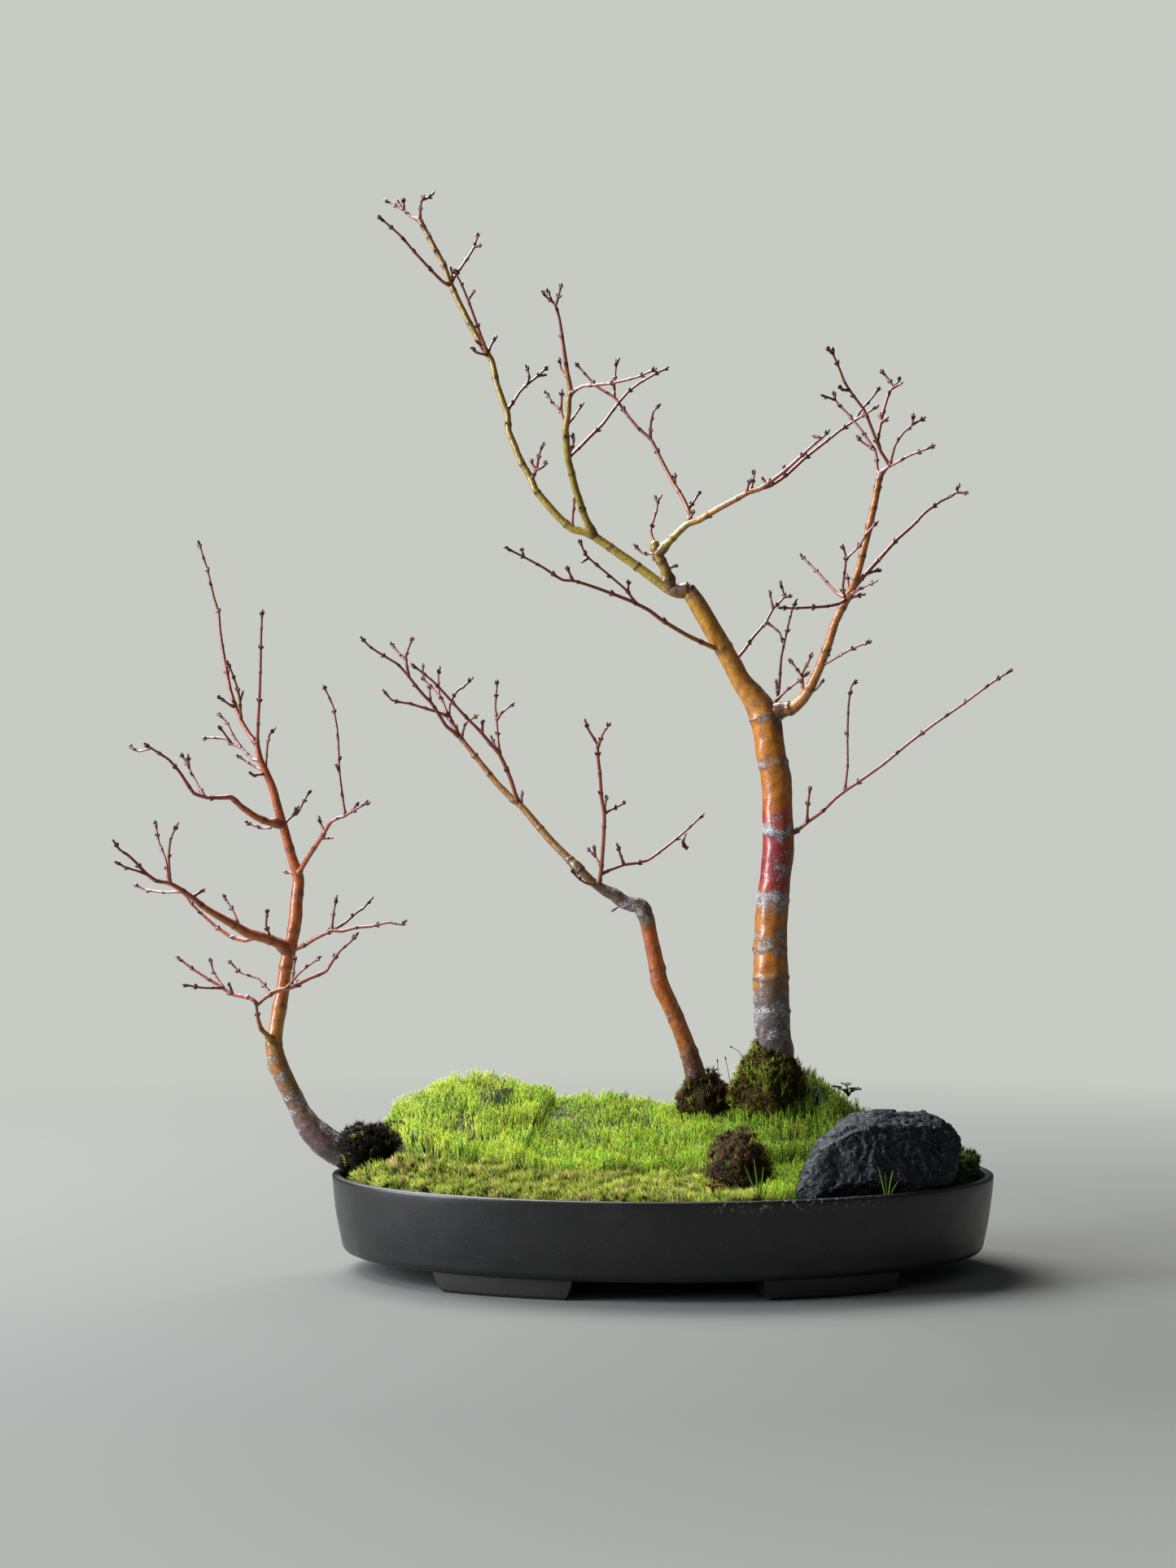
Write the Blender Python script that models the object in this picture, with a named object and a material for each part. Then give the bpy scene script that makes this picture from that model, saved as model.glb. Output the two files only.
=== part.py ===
"""Bonsai tree in a pot: three bare young maples in an oval tray, with moss mats and a stone.

Metres, +Z up. The origin is on the table, under the middle of the whole object's box.
The lists of points are in millimetres. They are an elevation of the trees, measured from the
middle of the pot on the table, as a person sees it from VIEWING_POINT.
"""

import math

import bmesh
import bpy
import numpy as np
from mathutils import Vector

MM = 0.001

# Pot
POT_LENGTH = 0.360
POT_WIDTH = 0.260
POT_HEIGHT = 0.052
FOOT_HEIGHT = 0.010
WALL = 0.0048
FLOOR = 0.0060
WALL_TAPER = 0.0053
CORNER_RADIUS = 0.0050
RIM_LIP = 0.0060
FOOT_START = 0.050
FOOT_END = 0.127
FOOT_DEPTH = 0.018
FOOT_SETBACK = 0.0037
FOOT_DRAFT = 0.0035
DRAIN_RADIUS = 0.011
DRAIN_SPACING = 0.150
OVAL_SIDES = 40

# Drain screens and their clips
SCREEN_SIDE = 0.0296
SCREEN_PITCH = 0.0070
SCREEN_BAR = 0.0016
SCREEN_THICKNESS = 0.0010
CLIP_WIRE = 0.0012
CLIP_REACH = 0.0150
SCREEN_HEADROOM = 0.0036

# Ground
GAP = 0.0003
SOIL_BELOW_RIM = 0.0090
END_CUSHION = 0.010
MOSS_EDGE = 0.0030
MOSS_RISE = 0.035
RIM_STEEPNESS = 7
MIDDLE_DIP = 0.005
RIGHT_DROP = 0.75
RIDGE_Y = 0.055
RIDGE_FRONT_SPREAD = 0.090
RIDGE_BACK_SPREAD = 0.045
LEFT_HILL_RISE = 0.014
LEFT_HILL_PLACE = (-0.108, 0.048)
LEFT_HILL_SPREAD = (0.036, 0.045)
RIGHT_HILL_RISE = 0.026
RIGHT_HILL_PLACE = (0.076, 0.062)
RIGHT_HILL_SPREAD = (0.024, 0.034)
END_CUSHION_INSET = 0.016
END_CUSHION_Y = -0.012
END_CUSHION_SPREAD = (0.022, 0.035)

# Trees: height above the point where each is drawn to stand, and trunk diameter near the foot
RIGHT_TREE_HEIGHT = 0.4964
RIGHT_TRUNK = 0.0225
MIDDLE_TREE_HEIGHT = 0.2595
MIDDLE_TRUNK = 0.0127
LEFT_TREE_HEIGHT = 0.3322
LEFT_TRUNK = 0.0173
TWIG_TIP = 0.0011
THICK_LIMB = 0.0042
TRUNK_SLACK = 0.0006
LIMB_SLACK = 0.0010
VIEWING_POINT = Vector((-40.6, -1728.0, 263.0)) * MM

# Stone and plants
STONE_SCALE = 1.0
BLADE_WIDTH = 0.0011
LEAF_RADIUS = 0.0036
STEM_RADIUS = 0.0005

half_length = POT_LENGTH / 2
half_width = POT_WIDTH / 2
inner_length = half_length - WALL
inner_width = half_width - WALL
pot_floor = FOOT_HEIGHT + FLOOR
end_shift = half_length - 0.180
front_shift = half_width - 0.130
rim_shift = POT_HEIGHT - 0.052


def smooth(value):
    """0 below 0, 1 above 1, and an S curve between."""
    value = min(max(value, 0.0), 1.0)
    return value * value * (3 - 2 * value)


# Blender helpers


def clear_scene():
    for obj in list(bpy.data.objects):
        bpy.data.objects.remove(obj, do_unlink=True)


def new_collection(name):
    made = bpy.data.collections.new(name)
    bpy.context.scene.collection.children.link(made)
    return made


def material(name, colour, roughness, metallic=0.0):
    made = bpy.data.materials.new(name)
    made.use_nodes = True
    shader = made.node_tree.nodes["Principled BSDF"]
    shader.inputs["Base Color"].default_value = (*colour, 1.0)
    shader.inputs["Roughness"].default_value = roughness
    shader.inputs["Metallic"].default_value = metallic
    made.diffuse_color = (*colour, 1.0)
    return made


def object_from(name, bm, collection):
    """Quads are split one fixed way, so that a piece and its grown cutter bend along the same edges."""
    bmesh.ops.recalc_face_normals(bm, faces=bm.faces)
    quads = [face for face in bm.faces if len(face.verts) == 4]
    bmesh.ops.triangulate(bm, faces=quads, quad_method="FIXED")
    mesh = bpy.data.meshes.new(name)
    bm.to_mesh(mesh)
    bm.free()
    obj = bpy.data.objects.new(name, mesh)
    collection.objects.link(obj)
    return obj


def as_part(obj, look):
    obj.data.materials.clear()
    obj.data.materials.append(look)
    obj.data.shade_smooth()
    obj.data.set_sharp_from_angle(angle=math.radians(40))
    obj.parent = root
    return obj


def as_cutter(obj):
    obj.hide_render = True
    obj.display_type = "WIRE"
    return obj


def combine(target, others, operation, among_themselves=False):
    """A Boolean of the target with every other object, applied."""
    group = new_collection("operands")
    group.hide_render = True
    for other in others:
        group.objects.link(other)
    modifier = target.modifiers.new("combine", "BOOLEAN")
    modifier.solver = "EXACT"
    modifier.operation = operation
    modifier.operand_type = "COLLECTION"
    modifier.collection = group
    modifier.use_self = among_themselves
    bpy.context.view_layer.update()
    evaluated = target.evaluated_get(bpy.context.evaluated_depsgraph_get())
    mesh = bpy.data.meshes.new_from_object(evaluated)
    target.modifiers.clear()
    target.data = mesh
    bpy.data.collections.remove(group)
    return target


def discard(objects):
    for obj in objects:
        bpy.data.objects.remove(obj, do_unlink=True)


def cut(target, takers):
    return combine(target, takers, "DIFFERENCE")


def loft(bm, rings, closed_ends=True):
    """Faces between each ring of points and the next. A flat ring at either end is capped."""
    placed = [[bm.verts.new(point) for point in ring] for ring in rings]
    for lower, upper in zip(placed, placed[1:]):
        for i in range(len(lower)):
            j = (i + 1) % len(lower)
            bm.faces.new((lower[i], lower[j], upper[j], upper[i]))
    if closed_ends:
        bm.faces.new(list(reversed(placed[0])))
        bm.faces.new(placed[-1])
    return placed


def box(name, centre, size):
    bm = bmesh.new()
    bmesh.ops.create_cube(bm, size=1.0)
    bmesh.ops.scale(bm, vec=size, verts=bm.verts)
    bmesh.ops.translate(bm, vec=centre, verts=bm.verts)
    return object_from(name, bm, cutters)


def tubes(name, paths, resolution):
    """One mesh of round tapered tubes. A path is a list of (point, radius)."""
    curve = bpy.data.curves.new(name, "CURVE")
    curve.dimensions = "3D"
    curve.bevel_depth = MM
    curve.bevel_resolution = resolution
    curve.use_fill_caps = True
    for path in paths:
        spline = curve.splines.new("POLY")
        spline.points.add(len(path) - 1)
        for knot, (point, radius) in zip(spline.points, path):
            knot.co = (*point, 1.0)
            knot.radius = radius / MM
    source = bpy.data.objects.new(name + "_curve", curve)
    cutters.objects.link(source)
    bpy.context.view_layer.update()
    evaluated = source.evaluated_get(bpy.context.evaluated_depsgraph_get())
    bm = bmesh.new()
    bm.from_mesh(bpy.data.meshes.new_from_object(evaluated))
    bmesh.ops.remove_doubles(bm, verts=bm.verts, dist=MM / 1000)
    bpy.data.objects.remove(source, do_unlink=True)
    return object_from(name, bm, cutters)


# Pot, drain screens and clips


def oval_point(angle, inset, z):
    """A point inside the rim's outer oval by inset, measured square to it."""
    across = Vector((math.cos(angle) / half_length, math.sin(angle) / half_width, 0)).normalized()
    on_rim = Vector((half_length * math.cos(angle), half_width * math.sin(angle), z))
    return on_rim - across * inset


def oval(inset, z):
    return [oval_point(2 * math.pi * i / OVAL_SIDES, inset, z) for i in range(OVAL_SIDES)]


def inner_profile(grow=0.0):
    """(inset, z) down the inside of the wall and round onto the floor."""
    radius = CORNER_RADIUS
    foot_inset = WALL_TAPER + WALL
    turn = [math.radians(a) for a in (0, 45, 90)]
    corner = [
        (foot_inset + radius * (1 - math.cos(a)) + grow, pot_floor + radius * (1 - math.sin(a)) + grow)
        for a in turn
    ]
    return [(WALL + grow, POT_HEIGHT - RIM_LIP)] + corner


def pot_profile(grow=0.0):
    """(inset, z) from the underside, up the wall, over the rim and down to the floor."""
    radius = CORNER_RADIUS
    turn = [math.radians(a) for a in (0, 45, 90)]
    corner = [
        (
            WALL_TAPER + radius * (1 - math.sin(a)) - grow,
            FOOT_HEIGHT + radius * (1 - math.cos(a)) - grow,
        )
        for a in turn
    ]
    height = POT_HEIGHT - FOOT_HEIGHT
    wall = [
        (WALL_TAPER * 0.30 - grow, FOOT_HEIGHT + height * 0.55),
        (0.0002 - grow, POT_HEIGHT - 0.0045),
        (0.0002 - grow, POT_HEIGHT - 0.0016 + grow),
        (0.0014 - grow * 0.5, POT_HEIGHT + grow),
        (WALL - 0.0014 + grow * 0.5, POT_HEIGHT + grow),
        (WALL + grow, POT_HEIGHT - 0.0014 + grow),
    ]
    return corner + wall + inner_profile(grow)


def pot_shell(name, grow=0.0):
    bm = bmesh.new()
    loft(bm, [oval(inset, z) for inset, z in pot_profile(grow)])
    return object_from(name, bm, cutters)


def foot(name, side_x, side_y):
    """A bar that follows the oval, drawn in at its ends and its outer face."""
    stations = 9
    overlap = 0.002
    bm = bmesh.new()
    rings = []
    outer = WALL_TAPER + FOOT_SETBACK
    for i in range(stations):
        share = i / (stations - 1)
        ring = []
        top = FOOT_START + share * (FOOT_END - FOOT_START)
        ends_in = FOOT_DRAFT * (1 - 2 * share)
        low = top + ends_in
        corners = (
            (low, outer + 0.001, 0.0),
            (low, outer + FOOT_DEPTH, 0.0),
            (top, outer + FOOT_DEPTH + 0.001, FOOT_HEIGHT + overlap),
            (top, outer, FOOT_HEIGHT + overlap),
        )
        for along, inset, z in corners:
            point = oval_point(math.acos(along / half_length), inset, z)
            ring.append((side_x * point.x, side_y * point.y, point.z))
        rings.append(ring)
    loft(bm, rings)
    return object_from(name, bm, cutters)


def make_pot():
    pot = pot_shell("pot")
    feet = [foot("foot", x, y) for x in (-1, 1) for y in (-1, 1)]
    combine(pot, feet, "UNION")
    discard(feet)
    holes = []
    for side in (-1, 1):
        bm = bmesh.new()
        bmesh.ops.create_cone(
            bm, cap_ends=True, segments=24, radius1=DRAIN_RADIUS, radius2=DRAIN_RADIUS, depth=3 * FLOOR
        )
        place = (side * DRAIN_SPACING / 2, 0, pot_floor - FLOOR / 2)
        bmesh.ops.translate(bm, vec=place, verts=bm.verts)
        holes.append(as_cutter(object_from("drain_cutter", bm, cutters)))
    cut(pot, holes)
    return pot


def make_screen(name, side):
    """A square plastic net that lies over a drain hole."""
    middle = Vector((side * DRAIN_SPACING / 2, 0, pot_floor + GAP + SCREEN_THICKNESS / 2))
    bars = []
    for i in range(-2, 3):
        shift = i * SCREEN_PITCH
        bars.append(box("bar", middle + Vector((shift, 0, 0)), (SCREEN_BAR, SCREEN_SIDE, SCREEN_THICKNESS)))
        thinner = SCREEN_THICKNESS * 0.8
        bars.append(box("bar", middle + Vector((0, shift, 0)), (SCREEN_SIDE, SCREEN_BAR, thinner)))
    screen = bars.pop()
    screen.name = name
    combine(screen, bars, "UNION")
    discard(bars)
    return screen


def make_clip(name, side):
    """A wire staple: over the screen, down through the hole and out under the pot's floor."""
    radius = CLIP_WIRE / 2
    top = pot_floor + 2 * GAP + SCREEN_THICKNESS + radius
    low = FOOT_HEIGHT - GAP - radius
    leg = SCREEN_PITCH / 2
    x = side * DRAIN_SPACING / 2
    route = (
        (-CLIP_REACH, low),
        (-leg - 0.0015, low),
        (-leg, low + 0.0015),
        (-leg, top - 0.0012),
        (-leg + 0.0012, top),
        (leg - 0.0012, top),
        (leg, top - 0.0012),
        (leg, low + 0.0015),
        (leg + 0.0015, low),
        (CLIP_REACH, low),
    )
    path = [(Vector((x + along, SCREEN_PITCH / 2, z)), radius) for along, z in route]
    return tubes(name, [path], 1)


# Ground: moss surface, soil and mats


def hill(x, y, place, spread):
    """1 at the hill's top, falling to 0 around it."""
    return math.exp(-(((x - place[0]) / spread[0]) ** 2) - ((y - place[1]) / spread[1]) ** 2)


def ground(x, y):
    """Height of the ground: low at the rim, rising to a ridge behind the middle and two hills."""
    out = (x / inner_length) ** 2 + (y / inner_width) ** 2
    fall = 1 - min(out, 1.0) ** RIM_STEEPNESS
    spread = RIDGE_FRONT_SPREAD if y < RIDGE_Y else RIDGE_BACK_SPREAD
    along_y = math.exp(-(((y - RIDGE_Y) / spread) ** 2))
    rise = MOSS_RISE - MIDDLE_DIP * smooth((x + 0.030) / 0.050)
    rise *= 1 - RIGHT_DROP * smooth((x - 0.100) / 0.045)
    left = LEFT_HILL_RISE * hill(x, y, LEFT_HILL_PLACE, LEFT_HILL_SPREAD)
    right = RIGHT_HILL_RISE * hill(x, y, RIGHT_HILL_PLACE, RIGHT_HILL_SPREAD)
    return POT_HEIGHT - 0.0005 + fall * (rise * along_y + left + right)


def moss_top(x, y):
    """The ground, with a low cushion at the right end."""
    place = (inner_length - END_CUSHION_INSET, END_CUSHION_Y)
    return ground(x, y) + END_CUSHION * hill(x, y, place, END_CUSHION_SPREAD)


def soil_top(x, y):
    return ground(x, y) - SOIL_BELOW_RIM


def wall_inset(z):
    """How far the wall's inner face is from the outer oval at a height."""
    top = POT_HEIGHT - RIM_LIP
    corner = pot_floor + CORNER_RADIUS
    return WALL + WALL_TAPER * min(max((top - z) / (top - corner), 0.0), 1.0)


def soil_solid(name, raised=0.0):
    """The soil. Raised, it is the cutter that gives the mats their undersides."""
    bm = bmesh.new()
    grow = GAP - raised
    rings = []
    sides = [(inset, z) for inset, z in reversed(inner_profile(grow))]
    edge_inset = wall_inset(POT_HEIGHT - SOIL_BELOW_RIM) + grow
    for inset, z in sides[:-1]:
        rings.append(oval(inset, z))
    for share in (1.0, 0.92, 0.78, 0.60, 0.40, 0.20):
        ring = []
        for point in oval(edge_inset, 0.0):
            x, y = point.x * share, point.y * share
            ring.append((x, y, soil_top(x, y) + raised))
        rings.append(ring)
    placed = loft(bm, rings, closed_ends=False)
    bm.faces.new(list(reversed(placed[0])))
    middle = bm.verts.new((0, 0, soil_top(0, 0) + raised))
    top_ring = placed[-1]
    for i, vert in enumerate(top_ring):
        bm.faces.new((vert, top_ring[(i + 1) % len(top_ring)], middle))
    return object_from(name, bm, cutters)


def rim(degrees, share=0.972):
    angle = math.radians(degrees)
    return (share * math.cos(angle), share * math.sin(angle))


def stations(outline, count):
    """Evenly spaced points, in metres, along a smooth curve through the outline's points."""
    knots = [Vector((u * inner_length, v * inner_width)) for u, v in outline]
    knots = [2 * knots[0] - knots[1]] + knots + [2 * knots[-1] - knots[-2]]
    dense = []
    for a, b, c, d in zip(knots, knots[1:], knots[2:], knots[3:]):
        for i in range(8):
            t = i / 8
            dense.append(0.5 * (2 * b + (c - a) * t + (2 * a - 5 * b + 4 * c - d) * t**2
                                + (3 * b - a - 3 * c + d) * t**3))
    dense.append(knots[-2])
    lengths = np.cumsum([0.0] + [(q - p).length for p, q in zip(dense, dense[1:])])
    wanted = np.linspace(0, lengths[-1], count)
    xs = np.interp(wanted, lengths, [p.x for p in dense])
    ys = np.interp(wanted, lengths, [p.y for p in dense])
    return [Vector((x, y)) for x, y in zip(xs, ys)]


def make_mat(name, front, back, count, thickness=1.0):
    """A moss mat between two edges, domed down to the soil all round."""
    across = (0.0, 0.07, 0.35, 0.65, 0.93, 1.0)
    near = stations(front, count)
    far = stations(back, count)
    bm = bmesh.new()
    top, low = [], []
    for i, (a, b) in enumerate(zip(near, far)):
        at_end = i in (0, count - 1)
        top_row, low_row = [], []
        for share in across:
            x, y = a.lerp(b, share)
            edge = at_end or share in (0.0, 1.0)
            ground = soil_top(x, y)
            full = moss_top(x, y) - ground
            z = ground + (MOSS_EDGE if edge else full * thickness)
            top_row.append(bm.verts.new((x, y, z)))
            low_row.append(bm.verts.new((x, y, ground - 0.006)))
        top.append(top_row)
        low.append(low_row)
    for i in range(count - 1):
        for j in range(len(across) - 1):
            bm.faces.new((top[i][j], top[i + 1][j], top[i + 1][j + 1], top[i][j + 1]))
            bm.faces.new((low[i][j], low[i][j + 1], low[i + 1][j + 1], low[i + 1][j]))
        for j in (0, len(across) - 1):
            bm.faces.new((top[i][j], top[i + 1][j], low[i + 1][j], low[i][j]))
    for i in (0, count - 1):
        for j in range(len(across) - 1):
            bm.faces.new((top[i][j], top[i][j + 1], low[i][j + 1], low[i][j]))
    return object_from(name, bm, cutters)


# Root balls, mound and stone


def lump(name, centre, radii, pear, turn, grow=0.0, columns=12, rows=8):
    """A knobbly round lump. pear widens it towards its top, or its foot if negative."""
    bm = bmesh.new()
    bmesh.ops.create_uvsphere(bm, u_segments=columns, v_segments=rows, radius=1.0)
    for vert in bm.verts:
        d = vert.co.copy()
        rough = 1 + 0.05 * math.sin(5 * d.x + 3 * d.z + turn)
        rough += 0.05 * math.sin(6 * d.y - 4 * d.x + 2 * turn)
        wide = (1 + pear * d.z) * rough
        vert.co = (
            centre[0] + d.x * wide * (radii[0] + grow),
            centre[1] + d.y * wide * (radii[1] + grow),
            centre[2] + d.z * rough * (radii[2] + grow),
        )
    return object_from(name, bm, cutters)


# (x, top, bottom, front, back) of the stone's sections, left to right, millimetres
STONE_SECTIONS = (
    (63.6, 47.0, 40.0, -92, -84),
    (68.0, 55.0, 38.0, -93, -74),
    (74.0, 66.0, 38.0, -94, -62),
    (80.2, 77.7, 38.0, -94, -50),
    (88.2, 82.6, 38.0, -93, -42),
    (99.5, 90.0, 38.0, -92, -34),
    (111.0, 91.4, 38.0, -90, -29),
    (124.0, 90.4, 38.0, -86, -26),
    (136.3, 89.7, 38.0, -80, -24),
    (145.5, 86.9, 40.0, -73, -24),
    (152.0, 82.4, 50.0, -64, -26),
    (156.4, 76.5, 62.0, -54, -32),
)


def make_stone(name, grow=0.0):
    """A charcoal stone: a steep facet on the left, a flattish top and a blunt overhang on the right."""
    sides = 12
    bm = bmesh.new()
    rings = []
    last = len(STONE_SECTIONS) - 1
    for k, (x, top, bottom, front, back) in enumerate(STONE_SECTIONS):
        tall = (top - bottom) / 2 * MM * STONE_SCALE + grow
        deep = (back - front) / 2 * MM * STONE_SCALE + grow
        ends = {0: -grow, last: grow}.get(k, 0.0)
        x = (110 + (x - 110) * STONE_SCALE) * MM + end_shift + ends
        y = (front + back) / 2 * MM - front_shift
        z = bottom * MM + rim_shift + (top - bottom) / 2 * MM * STONE_SCALE
        ring = []
        for i in range(sides):
            angle = 2 * math.pi * (i + 0.5) / sides
            c, s = math.cos(angle), math.sin(angle)
            square = 1 / max(abs(c) ** 3 + abs(s) ** 3, 1e-9) ** (1 / 3)
            dent = 1 - 0.035 * (1 + math.sin(2.1 * k + 3.7 * i))
            lean = 0.18 * (1 + s) * deep * (1 if s > 0 else 0)
            ring.append((x, y + c * square * dent * deep + lean, z + s * square * dent * tall))
        rings.append(ring)
    loft(bm, rings)
    return object_from(name, bm, cutters)


# Trees. Each limb is (lean, points): lean is how far its end comes forward (-) or goes back (+),
# or None for a twig, and a point is (across, up) or (across, up, diameter). A limb grows from
# the nearest point of those before it. Maple buds in pairs, so twigs lean to and fro in turn.

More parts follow.
